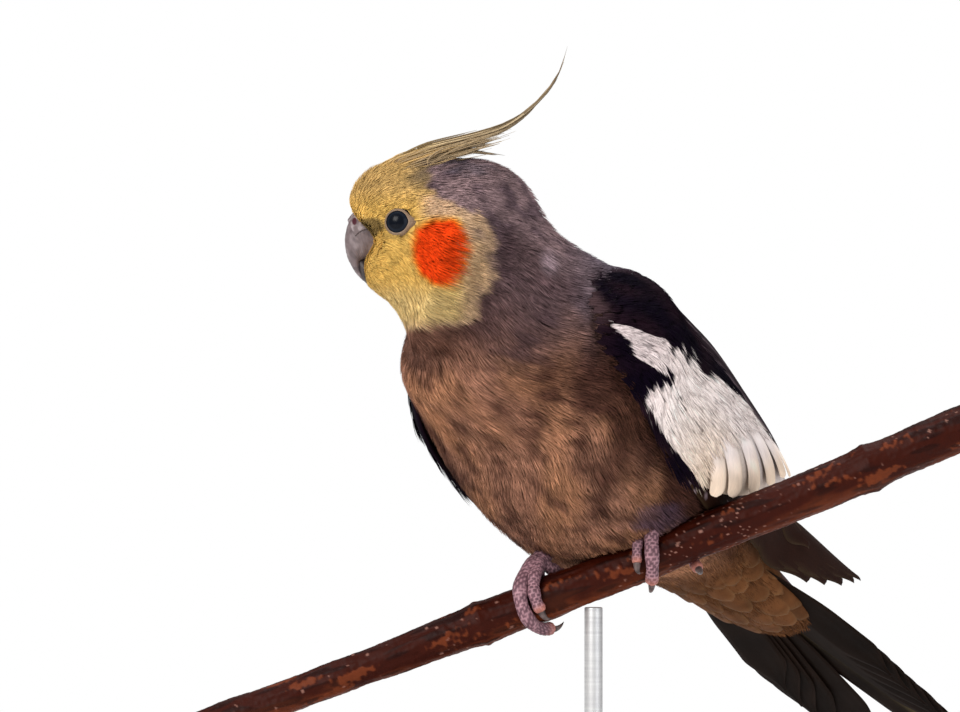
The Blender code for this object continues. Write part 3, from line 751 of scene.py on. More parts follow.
def lock_way(surface, locks, steps):
    """The station numbers and angles at those steps along each lock."""
    along, across = surface.axes(locks.t, locks.angle)
    on = locks.length * np.cos(locks.turn) / np.linalg.norm(along, axis=-1)
    over = locks.length * np.sin(locks.turn) / np.linalg.norm(across, axis=-1)
    return locks.t[:, None] + on[:, None] * steps, locks.angle[:, None] + over[:, None] * steps


def lock_points(surface, locks):
    """The ten points of each lock, following the surface from its root to its tip."""
    t, angle = lock_way(surface, locks, LOCK_STEPS)
    height = mix(locks.low[:, None], locks.high[:, None], LOCK_STEPS**LOCK_RISE)
    spine = clear_of_branch(surface.at(t, angle, height), LOCK_ROOM)
    run = unit(spine[:, 3] - spine[:, 0])
    out = surface.normal(t[:, 1], angle[:, 1])
    side = unit(np.cross(out, run))
    up = np.cross(run, side)
    turn = locks.twist[:, None]
    side, up = side * np.cos(turn) + up * np.sin(turn), up * np.cos(turn) - side * np.sin(turn)
    half = (locks.width[:, None] / 2 * LOCK_WIDTHS)[..., None]
    left = spine[:, :3] + side[:, None] * half
    right = spine[:, :3] - side[:, None] * half
    ridge = spine[:, :3] + up[:, None] * half * LOCK_RIDGE
    return np.concatenate([left, ridge, right, spine[:, 3:]], axis=1)


def scatter(surface, span, angles, spacing, random, tries=60000):
    """Places spread evenly over the surface, spacing(t) mm apart."""
    t = random.uniform(*span, tries)
    angle = random.uniform(*angles, tries)
    along, across = surface.axes(t, angle)
    area = np.linalg.norm(np.cross(along, across), axis=-1)
    gap = spacing(t)
    chance = area / gap**2
    kept = random.uniform(0, 1, tries) < chance / np.quantile(chance, 0.98)
    t, angle, gap = t[kept], angle[kept], gap[kept]
    points = surface.point(t, angle)
    tree = kdtree.KDTree(len(points))
    for number, point in enumerate(points):
        tree.insert(point, number)
    tree.balance()
    taken = np.zeros(len(points), bool)
    chosen = []
    for number in range(len(points)):
        if taken[number]:
            continue
        chosen.append(number)
        for _, near, _ in tree.find_range(points[number], gap[number]):
            taken[near] = True
    return t[chosen], angle[chosen]


# Feathers' measures in mm, their number of barbs, and the angle in radians that these fan out to.
Feather = namedtuple("Feather", "length width barbs barb_width fan depth lift")


def feather_locks(surface, t, angle, turn, kind, random):
    """The locks of feathers rooted at those places: a fan of barbs with a rounded end.

    kind gives each feather's measures. Also returns each lock's feather and share across it.
    """
    barbs = kind.barbs
    share = np.linspace(-1, 1, barbs)[None] + random.uniform(-0.5, 0.5, (len(t), barbs)) / barbs
    along, across = surface.axes(t, angle)
    wide = np.linalg.norm(across, axis=-1)[:, None]
    long = np.linalg.norm(along, axis=-1)[:, None]
    offset = share * kind.width[:, None] * 0.36
    back = kind.length[:, None] * 0.12 * (1 - share**2)
    t_root = t[:, None] + (back * np.cos(turn)[:, None] - offset * np.sin(turn)[:, None]) / long
    a_root = angle[:, None] + (back * np.sin(turn)[:, None] + offset * np.cos(turn)[:, None]) / wide
    length = kind.length[:, None] * (1 - 0.3 * share**2) * random.uniform(0.9, 1.08, share.shape)
    locks = Locks(
        t_root.ravel(),
        a_root.ravel(),
        (turn[:, None] + share * kind.fan + random.normal(0, 0.035, share.shape)).ravel(),
        length.ravel(),
        (kind.barb_width[:, None] * random.uniform(0.8, 1.2, share.shape)).ravel(),
        (-kind.depth[:, None] + random.uniform(0, 0.1, share.shape)).ravel(),
        (kind.lift[:, None] + random.uniform(-0.12, 0.1, share.shape)).ravel(),
        random.normal(0, 0.14, share.shape).ravel(),
    )
    feather = np.repeat(np.arange(len(t)), barbs)
    return locks, feather, share.ravel()


def bake_places(places):
    """Each lock's patch of the bake map at its root's place."""
    return 0.01 + 0.98 * places[:, None] + LOCK_PATCH[None] * BAKE_PATCH


def add_coat(name, surface, locks, colours, slot, span=(0.0, BODY_END)):
    """One coat piece from locks, with its bake map on the unwrap by station and angle.

    A lock is painted darker at its root, as shade where it lies under others, and lighter along its
    ridge and tip; pale feathers shine through and show that painted shade less.
    """
    points = lock_points(surface, locks)
    pale = smooth((colours.mean((1, 2)) - 0.35) / 0.3)[:, None, None]
    shades = colours[:, LOCK_STEP_OF] * mix(LOCK_PAINTED_SHADE[None, :, None], 1.0, 0.8 * pale)
    places = np.stack([
        (locks.angle / math.tau) % 1.0,
        np.clip((locks.t - span[0]) / (span[1] - span[0]), 0, 1),
    ], -1)
    return add_piece(
        name, points, [repeated(LOCK_FACES, len(points), LOCK_POINTS)], PLUMAGE,
        colours=shades, bake=bake_places(places),
    )


def chosen_locks(locks, colours, keep):
    """Some of the locks, with their colours."""
    return Locks(*(values[keep] for values in locks)), colours[keep]


# The body's coat

# How deep the skin lies under the coat's outline, on the face and on the body.
FACE_DEPTH, COAT_DEPTH = 0.9, 1.7
BARBS = 13
# Feather length by station: shortest at the bill, longest on the body.
LENGTH_STATIONS = (0.0, 1.5, 3.5, 6.0, 8.5, 13.0, 16.5)
LENGTHS = (2.0, 3.4, 5.0, 7.0, 9.0, 9.5, 10.0)
# Spacing and width as shares of the length.
COAT_SPACING, FEATHER_WIDTH = 0.255, 0.62
COAT_SPAN, COAT_TRIES = (0.15, 16.6), 240000
COAT_PIECES = (
    ("face", 0, 2.4, "yellow_face"),
    ("cheeks", 2.4, 3.8, "yellow_face"),
    ("head", 3.8, 6.6, "yellow_face"),
    ("neck", 6.6, 8.6, "grey_plumage"),
    ("breast", 8.6, 10.6, "grey_plumage"),
    ("belly", 10.6, 13.2, "grey_plumage"),
    ("vent", 13.2, 17, "grey_plumage"),
)
SKIN_ROWS, SKIN_AROUND = 200, 96
# Room in mm round the eye's ring for feathers and for their single locks.
FEATHER_EYE_ROOM, LOCK_EYE_ROOM = 3.3, 3.15


def coat_depth(t):
    return mix(FACE_DEPTH, COAT_DEPTH, smooth((t - 3.0) / 4.0))


def coat_length(t):
    return np.interp(t, LENGTH_STATIONS, LENGTHS)


def coat_lift(t, angle, random):
    """How far whole feathers stand off: a little on forehead and breast, more on the nape."""
    raised = random.uniform(0, 1, t.shape)
    dorsal = np.cos(angle)
    forehead = 0.55 * smooth((dorsal - 0.1) / 0.6) * smooth((3.2 - t) / 1.5) * smooth((t - 0.5) / 0.6)
    nape = 0.6 * smooth((dorsal + 0.3) / 0.5) * smooth((t - 5.2) / 0.8) * smooth((8.8 - t) / 1.0)
    breast = 0.45 * smooth((-0.2 - dorsal) / 0.4) * smooth((t - 7.5) / 1.0)
    return raised * (forehead + nape + breast)


def make_skin():
    """One skin under the coat, from bill to tail root, pressed in where it rests on the branch."""
    t, angle = np.meshgrid(
        np.linspace(0.0, BODY_END, SKIN_ROWS), full_turn(SKIN_AROUND), indexing="ij"
    )
    grid = clear_of_branch(body.at(t, angle, -coat_depth(t)), 0.2)
    # The skin takes the coat's colours, darkened as painted shade in the gaps between the locks.
    colours = plumage(grid, t, angle) * 0.75
    skin = add_tubes("skin", grid[None], PLUMAGE, colours=colours[None])
    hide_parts("head", "neck", "trunk")


ARM_FRONT, ARM_BACK = 8.5, 13.4
ARM_CLEARANCE, ARM_LIFT = 0.9, 1.5
ARM_THICKNESS, COVERTS_SWELL = 0.9, 4.0
ARM_ROWS, ARM_COLUMNS = 60, 36
# The arm's edges in degrees from the back's midline, and how they close in at its front and back.
ARM_UPPER, ARM_UPPER_FRONT = 16, 56
ARM_LOWER, ARM_LOWER_FRONT, ARM_LOWER_BACK = 118, 22, 30
DROOPS = {"left": 0.0, "right": math.radians(-4)}


def arm_edges(t):
    """The folded arm's upper and lower edge, as angles from the back's midline."""
    t = np.asarray(t, float)
    upper = ARM_UPPER + ARM_UPPER_FRONT * np.exp(ARM_FRONT - t)
    narrowed = ARM_LOWER_FRONT * np.exp((ARM_FRONT - t) / 0.45)
    lower = ARM_LOWER - narrowed - ARM_LOWER_BACK * smooth((t - 11) / 2.6)
    return np.radians(upper), np.radians(lower)


def arm_heights(t, angle):
    """The arm's underside and top over its bed."""
    low_edge, high_edge = arm_edges(t)
    i = np.clip((t - ARM_FRONT) / (ARM_BACK - ARM_FRONT), 0, 1)
    k = np.clip((angle - low_edge) / (high_edge - low_edge), 0, 1)
    low = ARM_CLEARANCE + ARM_LIFT * smooth(i * 3)
    rounding = np.sin(math.pi * (0.03 + 0.88 * k)) ** 0.6
    along = (0.5 + 0.5 * smooth(i * 4)) * (1 - 0.3 * smooth(i * 1.1))
    return low, low + ARM_THICKNESS + COVERTS_SWELL * rounding * along


def under_wing(t, angle, margin):
    """Whether a place of the body is hidden by a folded wing, by that margin in degrees."""
    hidden = np.zeros(t.shape, bool)
    turned = np.angle(np.exp(1j * angle))
    for side, droop in ((1, DROOPS["left"]), (-1, DROOPS["right"])):
        at = turned * side - droop
        upper, lower = arm_edges(np.maximum(t, ARM_FRONT))
        room = math.radians(margin)
        hidden |= (t > ARM_FRONT + 0.12) & (t < 13.2) & (at > upper + room) & (at < lower - room)
    return hidden


def near_eye(points, room):
    """Whether points are within that many mm of either eye's ring."""
    ahead, high, out = in_head(points)
    ahead, high = ahead - EYE_FORWARD - 0.95, high - EYE_UP
    corner = 0.6 * np.exp(-((high / 0.9) ** 2)) * (ahead < 0)
    return (np.hypot(ahead, high) < room + corner) & (np.abs(out) > 8)


def lie(points, t):
    """Which way the coat lies: straight back, but round the eye, towards growing angles in radians."""
    ahead, high, out = in_head(points)
    side = np.sign(out)
    from_eye = np.hypot(ahead - EYE_FORWARD, high - EYE_UP)
    bend = np.exp(-((from_eye / 6.5) ** 2)) * (t < 7) * np.sign(high - EYE_UP)
    return -side * bend * 0.5


def make_coat():
    """Small feathers over head, neck, trunk and the tail's root, as clumps of fine locks."""
    random = np.random.default_rng(11)
    t, angle = scatter(
        body, COAT_SPAN, (-math.pi, math.pi), lambda t: coat_length(t) * COAT_SPACING, random,
        COAT_TRIES,
    )
    points = body.point(t, angle)
    keep = ~under_wing(t, angle, 7.0) & ~near_eye(points, FEATHER_EYE_ROOM)
    t, angle, points = t[keep], angle[keep], points[keep]
    length = coat_length(t) * random.uniform(0.9, 1.1, len(t))
    kind = Feather(
        length, length * FEATHER_WIDTH, BARBS, mix(0.24, 0.44, smooth((length - 2) / 6)), 0.18,
        coat_depth(t), random.uniform(-0.15, 0.15, len(t)) + coat_lift(t, angle, random),
    )
    loose = mix(0.04, 0.10, smooth((t - 3) / 5))
    turn = lie(points, t) + random.normal(0, 1, len(t)) * loose
    locks, feather, share = feather_locks(body, t, angle, turn, kind, random)
    roots = body.point(locks.t, locks.angle)
    spots = lock_way(body, locks, PATTERN_STEPS)
    colours = plumage(body.point(*spots), *spots)
    varied = mix(0.5, 1.0, smooth((locks.t - 3.5) / 3))
    tone = random.normal(0, 0.12, len(t))[feather] * varied
    # Each feather's outer locks are painted darker, as shade along the feather's sides.
    rim = 0.16 * np.abs(share) * varied
    strand = random.normal(0, 0.10, len(feather)) * varied
    colours = colours * (1 + tone + strand - rim)[:, None, None]
    locks, colours = chosen_locks(locks, colours, ~near_eye(roots, LOCK_EYE_ROOM))
    for name, first, last, slot in COAT_PIECES:
        here = (locks.t >= first) & (locks.t < last)
        add_coat(f"coat_{name}", body, *chosen_locks(locks, colours, here), slot)


# Vanes: long thin feathers that lie over a surface

VANE_THICKNESS = 0.28
VANE_COLUMNS = 9
SHAFT_HEIGHT = 0.12
BARB_SLANT = 3.2


def rounded(share, start=0.8):
    """A vane's half width along it, full to near its rounded end."""
    return np.sqrt(np.clip(1 - (np.clip(share - start, 0, 1) / (1.001 - start)) ** 2, 0, 1))


def blunt(share):
    return rounded(share, 0.9)


def tapered(share):
    return 1 - smooth((share - 0.7) / 0.31) * 0.8


def pointed(share):
    return (1 - smooth((share - 0.55) / 0.46) * 0.93) * mix(0.6, 1.0, smooth(share * 4))


def vane_grid(surface, roots, bends, tips, width, low, high, rows, outline, camber=0.25):
    """Top points of vanes that bend from root to tip, places given as station number and degrees.

    Returns the points, the way up, and each point's share along and across and its place.
    """
    s = np.linspace(0, 1, rows)[:, None]
    ways = [np.asarray(p, float)[:, None] * (1.0, math.radians(1)) for p in (roots, bends, tips)]
    path = ways[0] * (1 - s) ** 2 + ways[1] * 2 * s * (1 - s) + ways[2] * s**2
    step = (ways[1] - ways[0]) * (1 - s) + (ways[2] - ways[1]) * s
    t, angle = path[..., 0], path[..., 1]
    along, across = surface.axes(t, angle)
    run = unit(along * step[..., :1] + across * step[..., 1:])
    side = np.cross(surface.normal(t, angle), run)
    share = np.linspace(-1, 1, VANE_COLUMNS)
    half = np.asarray(width)[:, None] / 2 * outline(s[:, 0])[None]
    offset = side[:, :, None] * half[..., None, None] * share[:, None]
    along, across = along[:, :, None], across[:, :, None]
    e, f, g = (along**2).sum(-1), (along * across).sum(-1), (across**2).sum(-1)
    p, q = (offset * along).sum(-1), (offset * across).sum(-1)
    t = t[..., None] + (p * g - q * f) / (e * g - f * f)
    angle = angle[..., None] + (q * e - p * f) / (e * g - f * f)
    rise = mix(np.asarray(low)[:, None], np.asarray(high)[:, None], s[:, 0])[..., None]
    rise = rise + camber * (1 - share**2) * outline(s) + SHAFT_HEIGHT * np.exp(-((share / 0.12) ** 2))
    top = clear_of_branch(surface.at(t, angle, rise), 0.5)
    ups = surface.normal(t, angle)
    along_share = np.broadcast_to(s[None], t.shape)
    return top, ups, along_share, np.broadcast_to(share, t.shape), t, angle


def barb_lines(top, share, seed):
    """A value that is the same along each barb: they slant from the shaft towards the tip."""
    steps = np.linalg.norm(np.diff(top[:, :, VANE_COLUMNS // 2], axis=1), axis=-1)
    far = np.concatenate([np.zeros((len(top), 1)), np.cumsum(steps, axis=1)], axis=1)[..., None]
    out = np.linalg.norm(top - top[:, :, VANE_COLUMNS // 2, None], axis=-1)
    which = np.arange(len(top))[:, None, None] * 7.3 + np.sign(share) * 2.1 + seed
    return np.stack([(far - out * BARB_SLANT) * 1.4, out * 0.5, np.broadcast_to(which, out.shape)], -1)


def add_vanes(name, top, ups, colours, share, seed=0.0):
    """One piece of closed thin vanes from their top points."""
    edge = 1 - 0.85 * np.linspace(-1, 1, VANE_COLUMNS) ** 2
    under = top - ups * (VANE_THICKNESS * edge)[:, None]
    grids = np.concatenate([top, under[:, :, ::-1]], axis=2)
    # The underside of each vane is painted darker, as shade.
    shades = np.concatenate([colours, colours[:, :, ::-1] * 0.6], axis=2)
    lines = barb_lines(top, share, seed)
    lines = np.concatenate([lines, lines[:, :, ::-1]], axis=2)
    return add_tubes(name, grids, VANES, colours=shades, barbs=lines)


# The wings

# How far the coverts slope down to the back, and the station where they begin.
RAMP, RAMP_FRONT = math.radians(24), 7.95


class ArmTop(Loft):
    """The top of a folded arm with its coverts, sloping down to the back and the breast."""

    def __init__(self, bed):
        self.bed = bed

    def point(self, t, angle):
        t, angle = np.broadcast_arrays(np.asarray(t, float), np.asarray(angle, float))
        arm = np.maximum(t, ARM_FRONT)
        ramp = smooth((angle - arm_edges(arm)[0] + RAMP) / RAMP)
        front = smooth((t - RAMP_FRONT) / (ARM_FRONT + 0.25 - RAMP_FRONT))
        return self.bed.at(t, angle, arm_heights(arm, angle)[1] * ramp * front)

    def normal(self, t, angle):
        return super().normal(t, angle) * self.bed.side


# The white patch's outline on the wing, as station number and degrees from the back's midline.
WHITE_PATCH = (
    (8.46, 85), (8.6, 85.5), (8.78, 87.5), (9.0, 89), (9.2, 87), (9.3, 91), (9.5, 86), (9.66, 82),
    (9.8, 86), (9.97, 82), (10.1, 77), (10.22, 81), (10.4, 81), (10.62, 77), (10.86, 76),
    (11.1, 73), (11.4, 70), (11.8, 64), (12.2, 60), (12.7, 57), (13.6, 50), (14.5, 90), (12.0, 122),
    (10.6, 116), (9.9, 114), (9.33, 115), (9.25, 109.5), (9.42, 107), (9.6, 101), (9.63, 97),
    (9.4, 99), (9.13, 102), (8.86, 101), (8.73, 95), (8.6, 91), (8.5, 88),
)


def inside_outline(outline, x, y):
    """Whether points lie inside a closed outline."""
    inside = np.zeros(np.shape(x), bool)
    for (x0, y0), (x1, y1) in zip(outline, outline[1:] + outline[:1]):
        crosses = (y0 > y) != (y1 > y)
        inside ^= crosses & (x < (x1 - x0) * (y - y0) / (y1 - y0 + 1e-12) + x0)
    return inside


def wing_colour(points, t, angle):
    """Black-brown coverts, a lilac shoulder and the cream patch with its streaked upper edge."""
    degrees = np.degrees(angle)
    streak = blotches(np.stack([t * 1.5, degrees * 0.8, t * 0], -1), 1.6, 21)
    patchy = blotches(points, 8.0, 22)
    colour = paint(WING_DARK, WING_BROWN, smooth(0.35 + 0.4 * patchy))
    colour = paint(colour, NECK_SIDE, smooth((8.42 + 0.08 * patchy - t) / 0.22) * 0.8)
    back = smooth((58 - degrees + 8 * patchy) / 20)
    colour = paint(colour, WING_BACK, back * 0.8)
    colour = paint(colour, MANTLE, smooth((46 - degrees) / 14) * smooth((10.0 - t) / 1.4))
    white = inside_outline(WHITE_PATCH, t + 0.03 * streak, degrees + 1.3 * streak)
    pale = paint(WHITE, CREAM_WHITE, smooth((degrees - 84) / 26) * smooth((t - 9.8) / 1.6))
    pale = paint(pale, LILAC, smooth((10.0 - t) / 1.2) * 0.4)
    colour = np.where(white[..., None], pale, colour)
    outer = (t > 11.6) & (degrees < 58) & (streak > 0.35)
    return np.where(outer[..., None], LILAC * 0.9, colour)


def make_wing_core(side_name, bed):
    """The closed arm under the coverts."""
    t = np.linspace(ARM_FRONT + 0.05, ARM_BACK - 0.08, ARM_ROWS)[:, None]
    upper, lower = arm_edges(t)
    share = np.linspace(0.02, 0.98, ARM_COLUMNS)
    angle = upper + (lower - upper) * share
    t = np.broadcast_to(t, angle.shape)
    rim = np.minimum(1, np.minimum(share, 1 - share) * 9) ** 0.5
    low = arm_heights(t, angle)[0]
    front = smooth((t - 8.35) / 0.6)
    outside = bed.at(t, angle, mix(low, mix(low, arm_heights(t, angle)[1] - 0.9, rim), front))
    inside = bed.at(t, angle, low)
    grid = np.concatenate([outside, inside[:, ::-1]], axis=1)
    # The core takes the coverts' colours darkened as painted shade under them, and its inner side darker
    # still as painted shade.
    colours = wing_colour(outside, t, angle + bed.marking) * 0.7
    colours = np.concatenate([colours, np.broadcast_to(WING_BROWN * 0.5, colours.shape)], axis=1)
    core = add_tubes(
        f"{side_name}_wing_core", grid[None], PLUMAGE, colours=colours[None]
    )
    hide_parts(f"{side_name}_wing")


# The white feathers that end in lobes: root, bend and tip, lowest first, with their widths.
LOBES = (
    ((10.3, 98), (11.15, 100.5), (11.42, 116.0), 6.4),
    ((10.7, 91), (11.5, 95.5), (11.72, 111.0), 6.6),
    ((11.1, 82), (11.9, 87.0), (12.10, 103.5), 7.0),
    ((11.5, 73), (12.35, 79.0), (12.52, 94.5), 7.4),
    ((11.9, 66), (12.7, 70.0), (12.94, 83.5), 7.2),
    ((12.2, 60), (13.0, 61.0), (13.36, 71.5), 6.8),
)
# Dark feathers that lie over their inner edge, along the back.
TERTIALS = (
    ((10.2, 62), (11.8, 58.0), (13.2, 62.0), 8.5),
    ((9.8, 54), (11.6, 50.0), (13.3, 54.0), 9.0),
    ((9.6, 46), (11.6, 42.0), (13.4, 46.0), 9.0),
    ((9.8, 38), (11.8, 33.0), (13.5, 37.0), 9.0),
    ((10.0, 30), (12.0, 25.0), (13.5, 29.0), 8.5),
)
# Flight feathers on the bed below the arm, lowest first.
QUILLS = (
    ((9.9, 106), (11.4, 114.0), (12.7, 118.0), 8.0),
    ((9.9, 103), (11.8, 114.0), (13.5, 117.0), 8.0),
    ((10.0, 99), (12.2, 113.0), (14.4, 115.5), 8.5),
    ((10.1, 95), (12.8, 110.0), (15.38, 115.0), 8.5),
    ((10.2, 90), (13.2, 106.0), (15.8, 106.0), 8.5),
    ((10.3, 84), (14.2, 104.0), (16.2, 95.0), 8.0),
    ((10.4, 78), (14.6, 100.0), (16.5, 82.0), 7.5),
    ((10.5, 70), (14.8, 96.0), (16.75, 71.0), 7.0),
    ((10.6, 62), (13.4, 80.0), (15.0, 88.0), 9.0),
    ((10.8, 54), (12.8, 66.0), (14.2, 76.0), 9.0),
    ((10.9, 46), (12.4, 54.0), (13.9, 64.0), 9.0),
)


def rows_of(feathers):
    """Roots, bends, tips and widths of a list of vanes."""
    roots, bends, tips, widths = zip(*feathers)
    return np.array(roots, float), np.array(bends, float), np.array(tips, float), np.array(widths)


# Each layer's surface, feathers, heights at root and tip, and outline.
WING_LAYERS = (
    ("quills", "bed", QUILLS, 0.95, 1.3, tapered),
    ("lobes", "top", LOBES, -1.5, 0.15, blunt),
    ("tertials", "top", TERTIALS, -0.3, 0.45, pointed),
)
WING_VANE_ROWS, WING_LAYER = 44, 0.11
# The far wing's lowest quills would show below the breast.
FAR_QUILLS_LEFT_OUT = 4


def vane_colours(name, grid, s, v, t):
    """White lobed feathers, and dark quills and tertials with paler edges."""
    edge = smooth((np.abs(v) - 0.62) / 0.38)[..., None]
    if name == "lobes":
        # The white lobed feathers are painted a little darker at their edges, as shade where they
        # overlap.
        return paint(WHITE, CREAM_WHITE, smooth((s - 0.35) / 0.5)) * (1 - 0.12 * edge)
    if name == "tertials":
        return mix(WING_BROWN * 0.8, LILAC * 0.7, edge * 0.5)
    specks = smooth((blotches(grid, 1.8, 32) - 0.9) / 0.3) * smooth((12.4 - t) / 0.6)
    return paint(mix(QUILL_BROWN, OLIVE_EDGE, edge * 0.08), LILAC, specks * 0.6)


def make_flight_feathers(side_name, bed, top):
    """Dark quills to the wing's tip, white lobed feathers over them and dark ones along the back."""
    for name, under, feathers, low, high, outline in WING_LAYERS:
        if name == "quills" and bed.side < 0:
            feathers = feathers[FAR_QUILLS_LEFT_OUT:]
        *places, widths = rows_of(feathers)
        roots, bends, tips = (p - (0, math.degrees(bed.tuck)) for p in places)
        layer = np.arange(len(roots)) * WING_LAYER
        grid, ups, s, v, t, _ = vane_grid(
            {"bed": bed, "top": top}[under], roots, bends, tips, widths, low + layer, high + layer,
            WING_VANE_ROWS, outline,
        )
        colours = vane_colours(name, grid, s, v, t) * (1 + 0.08 * blotches(grid, 3.0, 31)[..., None])
        piece = add_vanes(
            f"{side_name}_{name}", grid, ups, colours, v, seed=len(feathers)
        )
        if name == "quills":
            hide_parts(f"{side_name}_wing_tip")


# Where coverts grow: their front and lower border, and where they end over the lobed feathers,
# as degrees from the back's midline and station number.
COVERT_DEGREES = (30.0, 60.0, 72.0, 86.0, 97.0, 108.0, 115.0, 118.5)
COVERT_FRONT = (8.1, 8.14, 8.2, 8.28, 8.48, 8.72, 9.05, 9.3)
LOBE_DEGREES = (54.0, 66.0, 78.0, 88.0, 98.0, 106.0, 114.0)
LOBE_FRONT = (13.0, 12.2, 11.5, 11.0, 10.7, 10.75, 10.75)


COVERT_SPAN, COVERT_ANGLES = (8.1, 12.9), (math.radians(4), math.radians(118))
COVERT_BARBS = 14


def make_coverts(side_name, top, random):
    """Small feathers over the arm, longer towards the back, all but over the lobed feathers."""
    t, angle = scatter(
        top, COVERT_SPAN, COVERT_ANGLES, lambda t: np.interp(t, (8.5, 10.0, 13.0), (2.1, 3.0, 4.0)),
        random,
    )
    upper, lower = arm_edges(np.maximum(t, ARM_FRONT))
    degrees = np.degrees(angle)
    keep = (angle > upper - RAMP) & (angle < np.maximum(lower, np.radians(119 - 12 * (t > 9.3))))
    keep &= (t < np.interp(degrees, LOBE_DEGREES, LOBE_FRONT))
    keep &= (t > np.interp(degrees, COVERT_DEGREES, COVERT_FRONT)) & ((angle < lower) | (t < 9.3))
    if top.bed.side < 0:
        keep &= angle < lower - FAR_WING_HEM
    t, angle, degrees = t[keep], angle[keep], degrees[keep]
    size = len(t)
    length = np.interp(t, (8.3, 9.5, 11.0, 13.0), (5.0, 8.0, 11.0, 13.0))
    length = length * random.uniform(0.9, 1.1, size)
    kind = Feather(
        length, length * 0.5, COVERT_BARBS, mix(0.34, 0.5, smooth((t - 8.5) / 1.5)), 0.16,
        np.full(size, 0.5), random.uniform(-0.05, 0.12, size),
    )
    turn = smooth((degrees - 70) / 30) * 0.32 - 0.12 + random.normal(0, 0.05, size)
    locks, feather, _ = feather_locks(top, t, angle, turn, kind, random)
    spots = lock_way(top, locks, PATTERN_STEPS)
    colours = wing_colour(top.point(*spots), spots[0], spots[1] + top.bed.marking)
    tone = random.normal(0, 0.04, size)[feather] + random.normal(0, 0.05, len(feather))
    add_coat(
        f"{side_name}_coverts", top, locks, colours * (1 + tone)[:, None, None], "wing_feathers",
        span=(7.9, 15.0),
    )


def make_wings():
    random = np.random.default_rng(23)
    for side_name, side in (("left", 1), ("right", -1)):
        bed = WingLoft(WING_BED, side, DROOPS[side_name])
        top = ArmTop(bed)
        make_wing_core(side_name, bed)
        make_flight_feathers(side_name, bed, top)
        make_coverts(side_name, top, random)


# The tail: length, then how far each feather lies to the left at its root and its tip, left and right.
TAIL_FEATHERS = (
    (150, (1.5, 10.0), (-1.5, 6.2)),
    (136, (4.0, 11.0), (-2.4, -15.2)),
    (122, (6.0, 11.5), (-3.6, -22.4)),
    (109, (8.0, 12.5), (-4.8, -22.6)),
    (97, (9.6, 13.5), (-5.8, -21.4)),
    (85, (11.0, 14.5), (-6.4, -19.8)),
)
TAIL_HALF_WIDTH = 6.2
TAIL_LAYER = 0.23
TAIL_SAG = 2.5
TAIL_ROOT, TAIL_RISE = 4.0, 1.2
TAIL_ROWS = 60
TAIL_ROOM = 0.6


def tail_feather(pair, length, root, tip, layer):
    """Top points, ways up and colours of a feather that lies so far left at its root and its tip."""
    s = np.linspace(0, 1, TAIL_ROWS)
    v = np.linspace(-1, 1, VANE_COLUMNS)
    back = TAIL_ROOT + (length - TAIL_ROOT) * s
    drop = TAIL_LAYER * layer + TAIL_SAG * s * s
    across = root + (tip - root) * s**1.25
    path = place(TAIL, -back[:, None], (TAIL_RISE - drop)[:, None], across[:, None])
    run = unit(np.gradient(path, axis=0))
    side = unit(TAIL.left - run * (run @ TAIL.left)[:, None])
    up = np.cross(side, run)
    up = up * np.sign(up @ TAIL.up)[:, None]
    narrow = 1 - smooth((s - 0.74) / 0.26) * 0.93
    half = TAIL_HALF_WIDTH * (0.5 + 0.5 * smooth(s * 2)) * narrow
    rise = 0.3 * (1 - v**2) * half[:, None] / TAIL_HALF_WIDTH
    rise = rise + SHAFT_HEIGHT * np.exp(-((v / 0.1) ** 2))
    flat = path[:, None] + side[:, None] * (half[:, None] * v)[..., None]
    top = clear_of_branch(flat + up[:, None] * rise[..., None], TAIL_ROOM)
    edge = smooth((np.abs(v) - 0.6) / 0.4)[None, :, None]
    shaft = np.exp(-((v / 0.16) ** 2))[None, :, None]
    colour = mix(TAIL_DARK, TAIL_BROWN, edge * 0.6 + 0.2 * blotches(flat, 9.0, pair)[..., None])
    if pair == 0:
        colour = mix(colour, OLIVE_EDGE, shaft * 0.5)
    return top, np.broadcast_to(up[:, None], top.shape), colour.clip(0, 1)


def make_tail():
    """Twelve long feathers in pairs, the middle ones on top and longest."""
    feathers = [
        tail_feather(pair, length, root, tip, 2 * pair + number)
        for pair, (length, *spreads) in enumerate(TAIL_FEATHERS)
        for number, (root, tip) in enumerate(spreads)
    ]
    grids, ups, colours = (np.array(values) for values in zip(*feathers))
    shares = np.broadcast_to(np.linspace(-1, 1, VANE_COLUMNS), grids.shape[:3])
    tail = add_vanes("tail_feathers", grids, ups, colours, shares)
    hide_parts("tail")


# The tail coverts: rows, the stations of the first and last, and how many feathers each has.
TAIL_COVERT_ROWS = 5
TAIL_COVERT_SPAN, TAIL_COVERT_COUNTS = (13.3, 15.5), (16, 10)
# Ahead of this station only the underside has them, between these angles.
UNDER_TAIL_UNTIL, UNDER_TAIL = 14.2, (100, 262)


